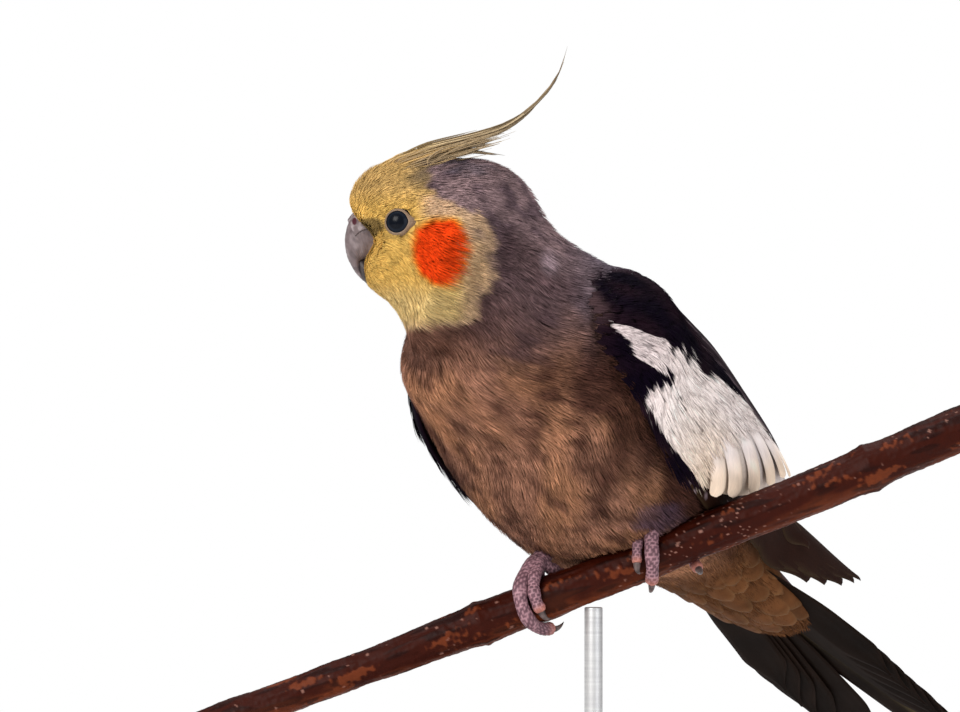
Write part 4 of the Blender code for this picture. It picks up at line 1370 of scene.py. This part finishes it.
def make_tail_coverts():
    """Broad feathers with pale rims over the tail's root, above and below."""
    roots, bends, tips = [], [], []
    first, last = TAIL_COVERT_SPAN
    for row, t in enumerate(np.linspace(first, last, TAIL_COVERT_ROWS)):
        size = round(mix(*TAIL_COVERT_COUNTS, (t - first) / (last - first)))
        for k in range(size):
            angle = 360 * (k + 0.5 * (row % 2)) / size
            if t < UNDER_TAIL_UNTIL and not UNDER_TAIL[0] < angle < UNDER_TAIL[1]:
                continue
            roots.append((t - 0.35, angle))
            bends.append((t + 0.4, angle))
            tips.append((t + 1.1, angle))
    random = np.random.default_rng(41)
    roots, bends, tips = (
        np.array(p) + random.normal(0, (0.08, 3.0), (len(p), 2)) for p in (roots, bends, tips)
    )
    tips[:, 0] = np.minimum(tips[:, 0], BODY_END - 0.25)
    size = len(roots)
    grid, ups, s, v, t, angle = vane_grid(
        body, roots, bends, tips, random.uniform(8.0, 10.5, size),
        np.full(size, -1.6), random.uniform(0.1, 0.5, size), 16, lambda s: rounded(s, 0.45), 0.4,
    )
    base = plumage(grid, t, angle)
    rim = smooth((np.abs(v) - 0.55) / 0.4) * smooth(s * 2) + smooth((s - 0.86) / 0.12)
    colours = paint(base * 0.85, PALE_RIM, np.clip(rim, 0, 1) * 0.09)
    tone = 1 + random.normal(0, 0.12, (size, 1, 1, 1)) + 0.1 * blotches(grid, 2.0, 5)[..., None]
    add_vanes("tail_coverts", grid, ups, colours * tone, v, seed=3.0)


# Strands: fine hairlike barbs on paths of their own

STRAND_ROWS = 12


def strand_grids(paths, widths, side):
    """Rings of thin blades along paths of STRAND_ROWS points, flat across the side direction."""
    run = unit(np.gradient(paths, axis=1))
    across = unit(side - run * (run * side).sum(-1, keepdims=True))
    up = np.cross(across, run)
    half = (widths / 2)[..., None]
    return np.stack([
        paths + across * half * math.cos(a) + up * half * 0.7 * math.sin(a) for a in full_turn(4)
    ], 2)


# Crest feathers in the head's frame: places (forward, up) from root to tip, then how far each lies
# to the left and its half width.
CREST = (
    ((6.2, 16.2), (-8.0, 20.1), (-29.0, 26.0), (-40.4, 36.2), (-44.2, 45.6), 0.0, 2.6),
    ((4.6, 16.6), (-9.0, 19.7), (-27.0, 24.6), (-38.4, 33.4), (-43.2, 41.5), 1.6, 2.2),
    ((4.0, 16.9), (-9.0, 19.4), (-24.0, 22.6), (-33.0, 27.6), (-38.0, 33.0), -1.8, 2.2),
    ((2.0, 17.1), (-8.0, 18.7), (-15.0, 19.4), (-20.0, 19.9), (-25.0, 20.4), 3.0, 2.6),
    ((-1.0, 17.6), (-10.0, 18.5), (-17.0, 18.4), (-23.0, 18.0), (-28.0, 17.3), 1.0, 2.6),
    ((0.0, 17.5), (-9.0, 18.6), (-15.0, 19.0), (-19.0, 19.1), (-22.0, 19.1), -3.2, 2.6),
)


# A crest feather is a shaft of three strands with its barbs; the first three are the long ones.
SHAFT_STRANDS, LONG_FEATHERS = 3, 3
LONG_STRANDS, SHORT_STRANDS = 64, 46
FOREHEAD_STRANDS = 620
STRAND_SHARES = np.linspace(0, 1, STRAND_ROWS)


def crest_line(feather, share):
    """Points (forward, up) of a crest feather's curve at shares of its length."""
    curve = np.array(feather[:5], float)
    return body.line(curve, np.asarray(share) * 4)


def crest_strand(feather, shaft, random):
    """The path, widths and colours of one strand of a crest feather, a shaft's or a barb."""
    s = STRAND_SHARES
    offset, half_width = feather[5:]
    first = 0.0 if shaft else random.uniform(0.0, 0.62)
    last = 1.0 if shaft else min(1.0, first + random.uniform(0.22, 0.42))
    share = first + (last - first) * s
    line = crest_line(feather, share)
    taper = (1 - share**1.2) * 0.8 + 0.06
    spread = 0 if shaft else random.uniform(-1, 1)
    fray = 0 if shaft else random.normal(0, 0.45)
    left = offset * (0.4 + 0.6 * share) + half_width * taper * spread * 0.8
    up = line[:, 1] + fray * (0.5 + s) * taper - 0.25 * abs(spread)
    up = up - 3.0 * (1 - smooth(share / 0.26))
    path = place(HEAD, line[:, :1], up[:, None], left[:, None])
    thick = 0.75 if shaft else random.uniform(0.32, 0.6)
    width = thick * (1 - s**3 * 0.85) * np.where(share > 0.8, 1 - (share - 0.8) * 3, 1)
    tone = random.normal(1, 0.16)
    colour = layered(
        CREST_ROOT,
        (CREST_VANE, smooth((share - 0.05) / 0.3)),
        (CREST_TIP, smooth((share - 0.4) / 0.5)),
        (CREST_EDGE, np.full(STRAND_ROWS, smooth((abs(fray) - 0.45) / 0.3) * 0.75)),
    )
    return path, width, colour * tone


def forehead_strand(random):
    """The path, widths and colours of one hairlike feather that runs back into the crest."""
    s = STRAND_SHARES
    ahead = random.uniform(-9.5, 9.0)
    left = random.normal(0, 3.2)
    t_near = np.interp(-ahead, (-9.0, -2.0, 6.0, 15.0), (2.0, 3.0, 4.0, 5.0))
    angle = left / 13.5
    root = body.at(np.array(t_near), np.array(angle), np.array(-0.8))
    feather = CREST[random.integers(0, LONG_FEATHERS)]
    reach = random.uniform(0.10, 0.34) + max(0.0, -ahead) * 0.018
    near, far = crest_line(feather, np.array([reach * 0.7, reach + 0.08]))
    lower = random.uniform(0.0, 2.6) * (1 if abs(left) < 4 else 1.6)
    bend, end = (
        HEAD.origin + HEAD.forward * p[0] + HEAD.up * (p[1] - lower - abs(left) * 0.22)
        + HEAD.left * left * inward
        for p, inward in ((near, 0.9), (far, 0.8))
    )
    path = (
        root * ((1 - s) ** 2)[:, None] + bend * (2 * s * (1 - s))[:, None]
        + end * (s**2)[:, None]
    )
    width = random.uniform(0.3, 0.5) * (1 - s**2 * 0.8)
    yellow = smooth((ahead + 1.5 + random.normal(0, 2.0)) / 6.0)
    colour = layered(CROWN, (FOREHEAD, np.full(STRAND_ROWS, yellow)), (CREST_VANE, s * 0.5))
    return path, width, colour * random.normal(1, 0.14)


def make_crest():
    """The crest's shafts and barbs, and the forehead's hairlike feathers that run into it."""
    random = np.random.default_rng(51)
    strands = []
    for number, feather in enumerate(CREST):
        for strand in range(LONG_STRANDS if number < LONG_FEATHERS else SHORT_STRANDS):
            strands.append(crest_strand(feather, strand < SHAFT_STRANDS, random))
    for _ in range(FOREHEAD_STRANDS):
        strands.append(forehead_strand(random))
    paths, widths, colours = (np.array(values) for values in zip(*strands))
    grids = strand_grids(paths, widths, HEAD.left)
    shades = np.broadcast_to(colours[:, :, None], grids.shape)
    crest = add_tubes("crest_feathers", grids, PLUMAGE, colours=shades)
    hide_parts("crest")


# The eyes: their axes lean forward, and the lids lie on the ball.
EYE_AXIS = (0.25, 0.96, 0.06)
LID_INNER, LID_OUTER, LID_HEIGHT = 2.82, 3.45, 3.02
LID_AROUND, LID_ROWS = 160, 22
# How far from the look's axis, in radians, the pupil ends, and the iris.
PUPIL_EDGE, IRIS_EDGE = 0.52, 0.72


def eye_axes(side):
    """The eye's centre, the way it looks, and the ways to its front and top."""
    centre = place(HEAD, EYE_FORWARD, EYE_UP, side * EYE_OUT)
    ahead, out, up = EYE_AXIS
    look = unit(HEAD.forward * ahead + HEAD.left * side * out + HEAD.up * up)
    front = unit(HEAD.forward - look * (look @ HEAD.forward))
    return centre, look, front, unit(HEAD.up - look * (look @ HEAD.up))


def make_eyes():
    """Dark glossy balls with a darker pupil, in a ring of small bare scales."""
    for side_name, side in (("left", 1), ("right", -1)):
        centre, look, front, top = eye_axes(side)
        lean = np.linspace(0.02, math.pi - 0.02, 48)[:, None]
        turn = full_turn(64)
        away = np.cos(lean)[..., None] * look + np.sin(lean)[..., None] * (
            np.cos(turn)[:, None] * front + np.sin(turn)[:, None] * top
        )
        ball = centre + away * EYE_RADIUS
        lean = np.broadcast_to(lean, ball.shape[:2])
        colours = layered(
            IRIS,
            (PUPIL, smooth((PUPIL_EDGE - lean) / 0.05)),
            (PUPIL, smooth((lean - IRIS_EDGE) / 0.06)),
        )
        eye = add_tubes(f"{side_name}_eyeball", ball[None], EYE, colours=colours[None])
        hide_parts(f"{side_name}_eye")
        make_lids(side_name, centre, look, front, top)


def make_lids(side_name, centre, look, front, top):
    """The ring round the eye: a smooth rim, then rows of granules, drawn out to a point behind."""
    turn = full_turn(LID_AROUND)
    share = np.linspace(0, 1, LID_ROWS)[:, None]
    behind = np.exp(-(((turn - math.pi) / 0.32) ** 2))
    below = np.exp(-(((turn - 4.4) / 0.9) ** 2))
    opening = LID_INNER + 0.1 * behind
    outer = LID_OUTER + 1.5 * behind + 0.35 * below
    reach = opening + (outer - opening) * share
    rim = 0.24 * np.exp(-(((share - 0.10) / 0.09) ** 2))
    dome = LID_HEIGHT - (reach**2 - LID_INNER**2) / 24 - 0.5 * smooth((share - 0.5) / 0.5)
    cells = np.sin(turn * 28 + np.pi * np.floor(share * 6)) * np.sin(share * math.pi * 6)
    bumps = 0.12 * np.abs(cells) * smooth((share - 0.16) / 0.1)
    high = dome + rim + bumps - 0.9 * smooth((0.035 - share) / 0.035)
    away = front * np.cos(turn)[:, None] + top * np.sin(turn)[:, None]
    outside = centre + away * reach[..., None] + look * high[..., None]
    inside = outside - look * (0.5 + 0.4 * share)[..., None]
    grid = np.concatenate([outside, inside[::-1]], axis=0).transpose(1, 0, 2)
    # Granules are painted lighter on top and darker in the grooves between them, as painted light and
    # shade.
    shade = mix(EYELID * 0.62, EYELID * 1.12, (np.abs(cells) ** 0.5)[..., None])
    # A pale rim round the opening, painted brightest along its lower side as a highlight.
    shade = paint(shade, EYELID_RIM_AND_HIGHLIGHT, np.exp(-(((share - 0.12) / 0.10) ** 2)) * (0.4 + 0.6 * below))
    shade = paint(shade, PUPIL, smooth((0.05 - share) / 0.05) + 0 * turn)
    # The ring's inner side is painted darker, as shade.
    shades = np.concatenate([shade, shade[::-1] * 0.5], axis=0).transpose(1, 0, 2)
    add_ring(f"{side_name}_eyelids", grid, shades, SKIN)


def add_ring(name, grid, colours, material):
    """A closed ring from its cross-sections in turn."""
    sections, around = grid.shape[:2]
    faces, spots = band_faces(sections, around, sections)
    points = grid.reshape(-1, 3)
    share = 0.02 + 0.96 * (spots[..., ::-1] / (around, sections))
    faces, spots = turned_out(points, [faces], [share.reshape(-1, 2)])
    return add_piece(name, points, faces, material, colours=colours, loop_bake=spots)


# The bill: (forward, up) of the ridge and of the cutting edge, and the half width, in the head's frame.
UPPER_BILL = (
    ((2.0, 2.0), (2.0, -9.0), 5.0),
    ((8.6, 3.3), (6.2, -9.6), 5.2),
    ((12.2, 0.8), (8.2, -9.8), 4.9),
    ((13.6, -4.2), (9.2, -10.3), 4.1),
    ((12.8, -9.2), (9.3, -11.6), 2.8),
    ((10.9, -12.8), (8.9, -13.4), 1.6),
    ((8.8, -15.1), (8.1, -15.2), 0.6),
)
LOWER_BILL = (
    ((0.5, -11.4), (0.5, -16.4), 3.4),
    ((4.6, -11.0), (4.2, -17.0), 3.5),
    ((9.7, -9.2), (7.6, -16.0), 3.0),
    ((10.1, -11.0), (8.9, -14.6), 1.7),
)
BILL_RINGS, BILL_AROUND = 90, 72
# The cere's place on the upper bill, by station and by angle from the ridge.
CERE_SPAN = (1.05, 2.1)
CERE_HALF_ANGLE = math.radians(78)
CERE_ROWS, CERE_COLUMNS = 44, 120
NOSTRIL_AT, NOSTRIL_ANGLE = 1.72, math.radians(46)


def bill_loft(rows):
    return Loft([Station(HEAD, upper, lower, half) for upper, lower, half in rows])


def make_bill():
    """The hooked upper bill with its worn ridge, the lower bill behind it, and the soft cere."""
    for name, rows in (("upper_bill", UPPER_BILL), ("lower_bill", LOWER_BILL)):
        loft = bill_loft(rows)
        t, turn = np.meshgrid(
            np.linspace(0, len(rows) - 1, BILL_RINGS), full_turn(BILL_AROUND), indexing="ij"
        )
        round_angle = (turn + math.pi) % math.tau - math.pi
        grid = loft.point(t, turn)
        grow = blotches(grid, 1.7, 61) * 0.035 + 0.02 * np.sin(t * 22 + blotches(grid, 3.0, 62))
        ridge = 0.22 * np.exp(-((round_angle / 0.22) ** 2)) * smooth(t / 1.5)
        grid = loft.at(t, turn, grow + ridge * (name == "upper_bill"))
        scuffs = smooth((blotches(grid * (1.0, 1.0, 0.5), 1.1, 63) - 0.2) / 0.8)
        # The hook's underside is painted darker, as shade; the dark blotches below are the horn's own
        # mottle.
        edge = smooth((np.abs(round_angle) - 2.2) / 0.5) * smooth((t - 2.5) / 1.0)
        colours = layered(
            BILL_GREY,
            (BILL_PALE, 0.25 * np.exp(-((round_angle / 0.5) ** 2)) + 0.35 * scuffs),
            (BILL_DARK_AND_SHADE, smooth((blotches(grid, 1.4, 64) - 0.3) / 0.7) * 0.4),
            (BILL_DARK_AND_SHADE, edge * 0.8),
        )
        # The lower bill, behind the hook, is painted very dark as shade.
        if name == "lower_bill":
            colours = colours * 0.22
        piece = add_tubes(f"{name}_horn", grid[None], HORN, colours=colours[None])
        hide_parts(name)
    make_cere(bill_loft(UPPER_BILL))


def make_cere(loft):
    """The swollen bare skin over the bill's root with a nostril on each side."""
    t, angle = np.meshgrid(
        np.linspace(*CERE_SPAN, CERE_ROWS),
        np.linspace(-CERE_HALF_ANGLE, CERE_HALF_ANGLE, CERE_COLUMNS), indexing="ij",
    )
    along = (t - CERE_SPAN[0]) / (CERE_SPAN[1] - CERE_SPAN[0])
    around = np.abs(angle) / CERE_HALF_ANGLE
    rise = 0.03 + 0.84 * smooth((1 - along) / 0.25) * smooth((1 - around) / 0.3)
    hole = np.hypot((t - NOSTRIL_AT) / 0.16, (np.abs(angle) - NOSTRIL_ANGLE) / 0.17)
    grid = loft.point(t, angle)
    fine = blotches(grid, 0.8, 71)
    rise = rise + 0.05 * fine + 0.16 * np.exp(-((hole - 1.25) ** 2) / 0.16) - 0.9 * smooth(1.15 - hole)
    top = loft.at(t, angle, rise)
    under = loft.at(t, angle, rise * 0 - 0.4)
    colours = paint(BILL_GREY, BILL_PALE, smooth(0.4 + 0.5 * fine))
    colours = paint(colours, NOSTRIL, smooth((1.35 - hole) / 0.5))
    grid = np.concatenate([top, under[:, ::-1]], axis=1)
    # The cere's underside is painted a little darker, as shade.
    shades = np.concatenate([colours, colours[:, ::-1] * 0.9], axis=1)
    cere = add_tubes("cere_skin", grid[None], SKIN, colours=shades[None])
    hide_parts("cere")


# The feet: toes as (along, angle) at root, middle and tip, with root and tip radius.
FEET = {
    "left": {
        "ankle": (20.5, -16, 4.2),
        "second_toe": ((18.6, -14), (13.8, 34), (11.6, 82), 1.55, 1.2),
        "third_toe": ((20.0, -14), (17.0, 62), (13.4, 134), 2.15, 1.6),
        "first_toe": ((20.5, -14), (19.0, -60), (18.0, -95), 1.7, 1.3),
        "fourth_toe": ((21.0, -14), (25.0, -80), (25.8, -160), 1.8, 1.4),
    },
    "right": {
        "ankle": (-13.0, -14, 4.2),
        "second_toe": ((-12.6, -12), (-17.9, 60), (-17.0, 100), 1.7, 1.5),
        "third_toe": ((-13.6, -12), (-26.9, 78), (-16.6, 174), 1.95, 1.6),
        "first_toe": ((-12.0, -12), (-8.5, -46), (-7.4, -76), 1.7, 1.3),
        "fourth_toe": ((-13.0, -12), (-15.5, -50), (-15.5, -88), 1.8, 1.4),
    },
}
TOE_CLEARANCE, TOE_LIFT, TOE_KNUCKLE = 0.45, 2.2, 0.10
ACROSS = np.array((1.0, 0.0, 0.3))
SHANK_TOP = {"left": (18.0, 12.0, 24.0), "right": (-9.0, 13.0, 13.0)}
SHANK_RADIUS, SHANK_RINGS = 2.4, 80
CLAW_LENGTH, CLAW_RADIUS = 5.6, 1.0
GAP = 0.3
SCUTE, SCUTE_HEIGHT = 0.85, 0.16
TOE_AROUND, TOE_RINGS, CLAW_RINGS = 28, 70, 40


def swept_grid(path, radii, bumps=0.0):
    """Rings of a tube along a path, starting from the side that ACROSS points to."""
    run = unit(np.gradient(path, axis=0))
    across = unit(ACROSS - run * (run @ ACROSS)[:, None])
    up = np.cross(across, run)
    turn = full_turn(TOE_AROUND)
    reach = (radii[:, None] + bumps)[..., None]
    return path[:, None] + (
        across[:, None] * np.cos(turn)[:, None] + up[:, None] * np.sin(turn)[:, None]
    ) * reach


def scutes(path, first=0.0):
    """How much each place of a toe rises as a scale, from 0 in the grooves to 1."""
    steps = np.linalg.norm(np.diff(path, axis=0), axis=-1)
    far = np.concatenate([[0], np.cumsum(steps)])[:, None] + first
    turn = full_turn(TOE_AROUND)
    along = np.abs(np.sin(far / SCUTE * math.pi + 0.25 * np.sin(turn * 2)))
    row = np.floor(far / SCUTE + 0.25 * np.sin(turn * 2) / math.pi)
    round_it = np.abs(np.sin(turn * 7 / 2 + math.pi / 2 * (row % 2) + 0.15 * np.sin(far * 1.7)))
    return np.minimum(smooth(along * 1.6), smooth(round_it * 1.6))


def toe_path(root, middle, tip, first_radius, last_radius):
    """A toe's curve round the branch, and its thickness with the knuckles."""
    share = np.linspace(0, 1, TOE_RINGS)[:, None]
    root, middle, tip = (np.array(p, float) for p in (root, middle, tip))
    early, late = mix(root, middle, share), mix(middle, tip, share)
    places = mix(early, late, share)
    share = share[:, 0]
    radius = mix(first_radius, last_radius, share) + TOE_KNUCKLE * np.cos(share * math.tau * 3)
    lift = TOE_LIFT * np.clip(1 - 3 * share, 0, None) ** 2
    return round_branch(places[:, 0], places[:, 1], radius + TOE_CLEARANCE + lift), radius


def rounded_end(path, radii, steps=10):
    """The path and radii with a round end added."""
    run = unit(path[-1] - path[-2])
    turn = np.linspace(0.12, 1.5, steps)
    ahead = path[-1] + run * (np.sin(turn) * radii[-1] * 0.95)[:, None]
    return np.concatenate([path, ahead]), np.concatenate([radii, radii[-1] * np.cos(turn)])


def toe_colours(grid, raised, share):
    """Dark scales on pale skin, pinker towards the toe's end."""
    fine = blotches(grid, 0.9, 81)
    colours = paint(TOE_SKIN, TOE_SCALE, smooth((raised - 0.3) / 0.35) * 0.75)
    colours = paint(colours, TOE_END, smooth((share - 0.78) / 0.15)[:, None] * 0.7)
    return colours * (1 + 0.12 * fine)[..., None]


def make_feet():
    """Scaly shanks and toes, and horn claws, all as smooth closed tubes."""
    for side_name, foot in FEET.items():
        ankle = round_branch(*(np.array(v, float) for v in foot["ankle"]))
        knee = np.array(SHANK_TOP[side_name])
        path = ankle + (knee - ankle) * np.linspace(-0.2, 1.0, SHANK_RINGS)[:, None]
        raised = scutes(path)
        shank = swept_grid(path, np.full(SHANK_RINGS, SHANK_RADIUS), SCUTE_HEIGHT * raised)
        tubes, shades = [shank], [toe_colours(shank, raised, np.zeros(SHANK_RINGS))]
        claws = []
        toes = [toe for toe in foot if toe != "ankle"]
        for toe in toes:
            path, radii = toe_path(*foot[toe])
            claws.append(claw_grid(path, radii))
            path, radii = rounded_end(path, radii)
            raised = scutes(path, first=len(toe) * 0.31)
            grid = swept_grid(path, radii, SCUTE_HEIGHT * raised * (radii / radii.max())[:, None])
            tubes.append(grid)
            shades.append(toe_colours(grid, raised, np.linspace(0, 1, len(path))))
        leg = add_tubes(
            f"{side_name}_foot", np.array(tubes), SKIN, colours=np.array(shades)
        )
        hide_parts(f"{side_name}_leg")
        claws = np.array(claws)
        shades = CLAW_GREY * (0.7 + 0.3 * blotches(claws, 1.0, 82))[..., None]
        claws = add_tubes(f"{side_name}_claws", claws, HORN, colours=shades)
        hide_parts(*(f"{side_name}_{toe}_claw" for toe in toes))


def claw_grid(path, radii):
    """A curved claw ahead of the toe's end, bending on round the branch."""
    coarse = path[[46, 58, 69]]
    run = unit(coarse[-1] - coarse[-2])
    bend = unit((coarse[-1] - coarse[-2]) - (coarse[-2] - coarse[-3]))
    start = path[-1] + run * (radii[-1] * 0.75)
    share = np.linspace(0, 1, CLAW_RINGS)[:, None]
    far = CLAW_LENGTH * share
    claw = start + run * far * (1 - 0.25 * share) + bend * far * 0.42 * share
    share = share[:, 0]
    sizes = np.maximum(0.1, CLAW_RADIUS * (1 - share) ** 0.7)
    return swept_grid(claw, sizes)


# The perch


BRANCH_RINGS, BRANCH_AROUND = 620, 96
BRANCH_TURN = np.arange(BRANCH_AROUND) * 360.0 / BRANCH_AROUND
CUT_END_RINGS, RING_WIDTH = 30, 1.1


def make_branch():
    """Bark with fine ridges, pores and leaf scars, and the growth rings of its cut ends."""
    along = np.linspace(-BRANCH_LEFT, BRANCH_RIGHT, BRANCH_RINGS)
    along, turn = np.meshgrid(along, BRANCH_TURN, indexing="ij")
    grid = round_branch(along, turn, along * 0)
    run = np.array((math.cos(BRANCH_TILT), 0, math.sin(BRANCH_TILT)))
    squeezed = grid - run * (grid @ run)[..., None] * 0.82
    ridges = blotches(squeezed, 1.3, 91)
    lumps = blotches(grid, 9.0, 92)
    fine = blotches(grid, 0.9, 93)
    pores = smooth((blotches(grid + 40, 1.1, 94) - 1.6) / 0.3)
    height = 0.10 * ridges + 0.16 * lumps + 0.05 * fine + 0.05 * pores
    for at, _, _ in LEAF_SCARS:
        ring = np.exp(-(((along - at - 0.4 * np.sin(np.radians(turn) * 2)) / 0.7) ** 2))
        height = height + 0.25 * ring
    grid = round_branch(along, turn, height)
    under = smooth((-np.cos(np.radians(turn)) + 0.35 * lumps + 0.25 * ridges - 0.2) / 0.9)
    tan = smooth((blotches(squeezed + 9, 2.4, 95) + 0.4 * fine - 0.8) / 0.5)
    worn = smooth((blotches(grid - 30, 0.6, 96) - 1.35) / 0.3) * smooth((along - 5) / 10)
    colours = layered(
        BARK,
        (BARK_TAN, under * 0.8),
        (BARK_DARK, smooth((ridges + 0.5 * lumps - 0.1) / 0.8) * 0.7),
        (BARK_TAN, tan * 0.8),
        (BARK_SPECK, pores * 0.6),
        (BARK_SPECK, worn * smooth((60 - along) / 20) * 0.8),
    )
    branch = add_tubes("branch_bark", grid[None], BARK_COAT, colours=colours[None])
    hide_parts("perch_branch")
    for name, at, way in (("thin", -BRANCH_LEFT, -1), ("thick", BRANCH_RIGHT, 1)):
        make_cut_end(name, at, way)


def make_cut_end(name, at, way):
    """A thin disc of pale wood with growth rings and a pith, set in the branch's end."""
    share = np.linspace(0.02, 1, CUT_END_RINGS)[:, None]
    run = branch_axes(np.array(float(at)))[0]
    reach = branch_radius(at) * (0.93 * share - 1)
    size = (CUT_END_RINGS, BRANCH_AROUND)
    face = round_branch(np.full(size, float(at)), np.broadcast_to(BRANCH_TURN, size), reach)
    wobble = blotches(face, 3.0, 97) * 0.12
    grain = 0.5 + 0.5 * np.sin((share * branch_radius(at) + wobble) * math.tau / RING_WIDTH)
    bevel = 0.22 - 0.18 * smooth((share - 0.9) / 0.1) + 0.03 * grain
    top = face + run * way * bevel[..., None]
    back = face - run * way * 0.6
    grid = np.concatenate([top, back[::-1]], axis=0)
    pith = np.broadcast_to(smooth((0.14 - share) / 0.05), size)
    wood = paint(mix(WOOD_PALE, WOOD_RING, grain[..., None] * 0.7), BARK, pith)
    shades = np.concatenate([wood, wood[::-1]], axis=0)
    add_tubes(f"cut_end_{name}", grid[None], BARK_COAT, colours=shades[None])


# The stand

BASE_RADIUS, BASE_HEIGHT = 58.0, 6.0
ROD_RADIUS, ROD_ALONG = 2.4, -1.0
CUP_RADIUS, CUP_HEIGHT = 4.6, 7.0


def turned(name, centre, profile, replaced):
    """A turned metal piece from (radius, height) pairs, replacing a stand node."""
    profile = np.array(profile)
    turn = full_turn(128)
    grid = np.stack([
        centre[0] + profile[:, :1] * np.cos(turn),
        centre[1] + profile[:, :1] * np.sin(turn),
        profile[:, 1:] + 0 * turn,
    ], -1)
    piece = add_tubes(name, grid[None], METAL)
    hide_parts(replaced)


def bevelled(radius, low, high, bevel, steps=6):
    """The outline of a post with rounded rims."""
    turns = np.linspace(0, math.pi / 2, steps)
    out = [(radius - bevel + bevel * math.sin(a), low + bevel - bevel * math.cos(a)) for a in turns]
    out += [(radius - bevel + bevel * math.cos(a), high - bevel + bevel * math.sin(a)) for a in turns]
    return [(0.5, low)] + out + [(0.5, high)]


def make_stand():
    """A base, a cup on it, and a rod that ends just under the branch."""
    foot = branch_centre(ROD_ALONG)
    bark = BRANCH_RADIUS / math.cos(BRANCH_TILT)
    top = foot[2] - bark - ROD_RADIUS * math.tan(BRANCH_TILT) - GAP
    floor = -PERCH_POINT[2]
    cup = floor + BASE_HEIGHT + GAP
    turned("base", -PERCH_POINT, bevelled(BASE_RADIUS, floor, floor + BASE_HEIGHT, 1.0), "stand_base")
    turned("cup", foot, bevelled(CUP_RADIUS, cup - 0.2, cup + CUP_HEIGHT, 0.6), "stand_cup")
    turned("rod", foot, bevelled(ROD_RADIUS, cup + CUP_HEIGHT, top, 0.3), "stand_rod")


# Camera, light and floor

CAMERA_DISTANCE = 1800.0
CAMERA_RIGHT, CAMERA_UP = -31.0, 59.0
MM_PER_PIXEL = 0.265
PICTURE_WIDTH = 960


def make_camera():
    """A long lens level with the bird's breast, as in the photograph."""
    data = bpy.data.cameras.new("camera")
    data.sensor_width = 36.0
    data.lens = 36.0 * CAMERA_DISTANCE / (PICTURE_WIDTH * MM_PER_PIXEL)
    data.clip_end = 30.0
    camera = add_object("camera", data)
    where = PERCH_POINT + (CAMERA_RIGHT, -CAMERA_DISTANCE, CAMERA_UP)
    camera.location = where * MM
    camera.rotation_euler = (math.pi / 2, 0, 0)
    bpy.context.scene.camera = camera


# Each lamp's place in mm from the perch point, its size in mm, power in watts and colour.
LAMPS = (
    ("key", (-900, -1300, 900), 900, 30, (1.0, 0.98, 0.95)),
    ("fill", (1300, -1100, 300), 1200, 8, (0.95, 0.97, 1.0)),
    ("top", (100, 300, 1500), 1200, 16, (1.0, 1.0, 1.0)),
)
SKY_LIGHT = 0.45


def make_lights():
    """Large soft lamps: the key high to the left in front, a weaker fill to the right, one above.

    The studio is white where it is seen, and lights the bird more softly than that.
    """
    aim = PERCH_POINT + (0, 0, 45)
    for name, where, size, power, colour in LAMPS:
        data = bpy.data.lights.new(name, "AREA")
        data.size = size * MM
        data.energy = power
        data.color = colour
        lamp = add_object(name, data)
        lamp.location = (PERCH_POINT + where) * MM
        toward = Vector(aim - (PERCH_POINT + where))
        lamp.rotation_euler = toward.to_track_quat("-Z", "Y").to_euler()
    world = bpy.data.worlds.new("studio")
    world.use_nodes = True
    tree = world.node_tree
    seen = add_node(tree, "ShaderNodeLightPath")
    level = add_node(
        tree, "ShaderNodeMapRange",
        {"Value": seen.outputs["Is Camera Ray"], "To Min": SKY_LIGHT, "To Max": 1.0},
    )
    tree.links.new(level.outputs["Result"], tree.nodes["Background"].inputs["Strength"])
    tree.nodes["Background"].inputs["Color"].default_value = (1.0, 1.0, 1.0, 1.0)
    bpy.context.scene.world = world
    bpy.context.scene.view_settings.view_transform = "Standard"


FLOOR_RADIUS = 800.0


def make_floor():
    """A round pale floor, out of sight below the photograph's frame."""
    turns = full_turn(96)
    rim = np.stack([np.cos(turns), np.sin(turns), turns * 0], -1) * FLOOR_RADIUS
    data = bpy.data.meshes.new("floor")
    data.from_pydata(((rim - (0, 0, 0.2)) * MM).tolist(), [], [tuple(range(96))])
    floor = add_object("floor", data)
    made, tree, shader = new_material("floor_paint", 0.7)
    noise = object_noise(tree, 3.0)
    shade = ramp(tree, noise.outputs["Fac"], [(0.3, (0.84, 0.84, 0.84)), (0.7, (0.88, 0.88, 0.88))])
    tree.links.new(shade, shader.inputs["Base Color"])
    data.materials.append(made)


PLUMAGE = plumage_material()
VANES = vane_material()
SKIN = surface_material("bare_skin", 0.55, 1500.0, 0.35)
HORN = surface_material("horn", 0.45, 900.0, 0.3, specular=0.3)
BARK_COAT = surface_material("bark", 0.5, 500.0, 0.5, specular=0.08)
EYE = eye_material()
METAL = metal_material()
make_camera()
make_lights()
make_floor()
make_skin()
make_coat()
make_wings()
make_tail()
make_tail_coverts()
make_crest()
make_eyes()
make_bill()
make_feet()
make_branch()
make_stand()
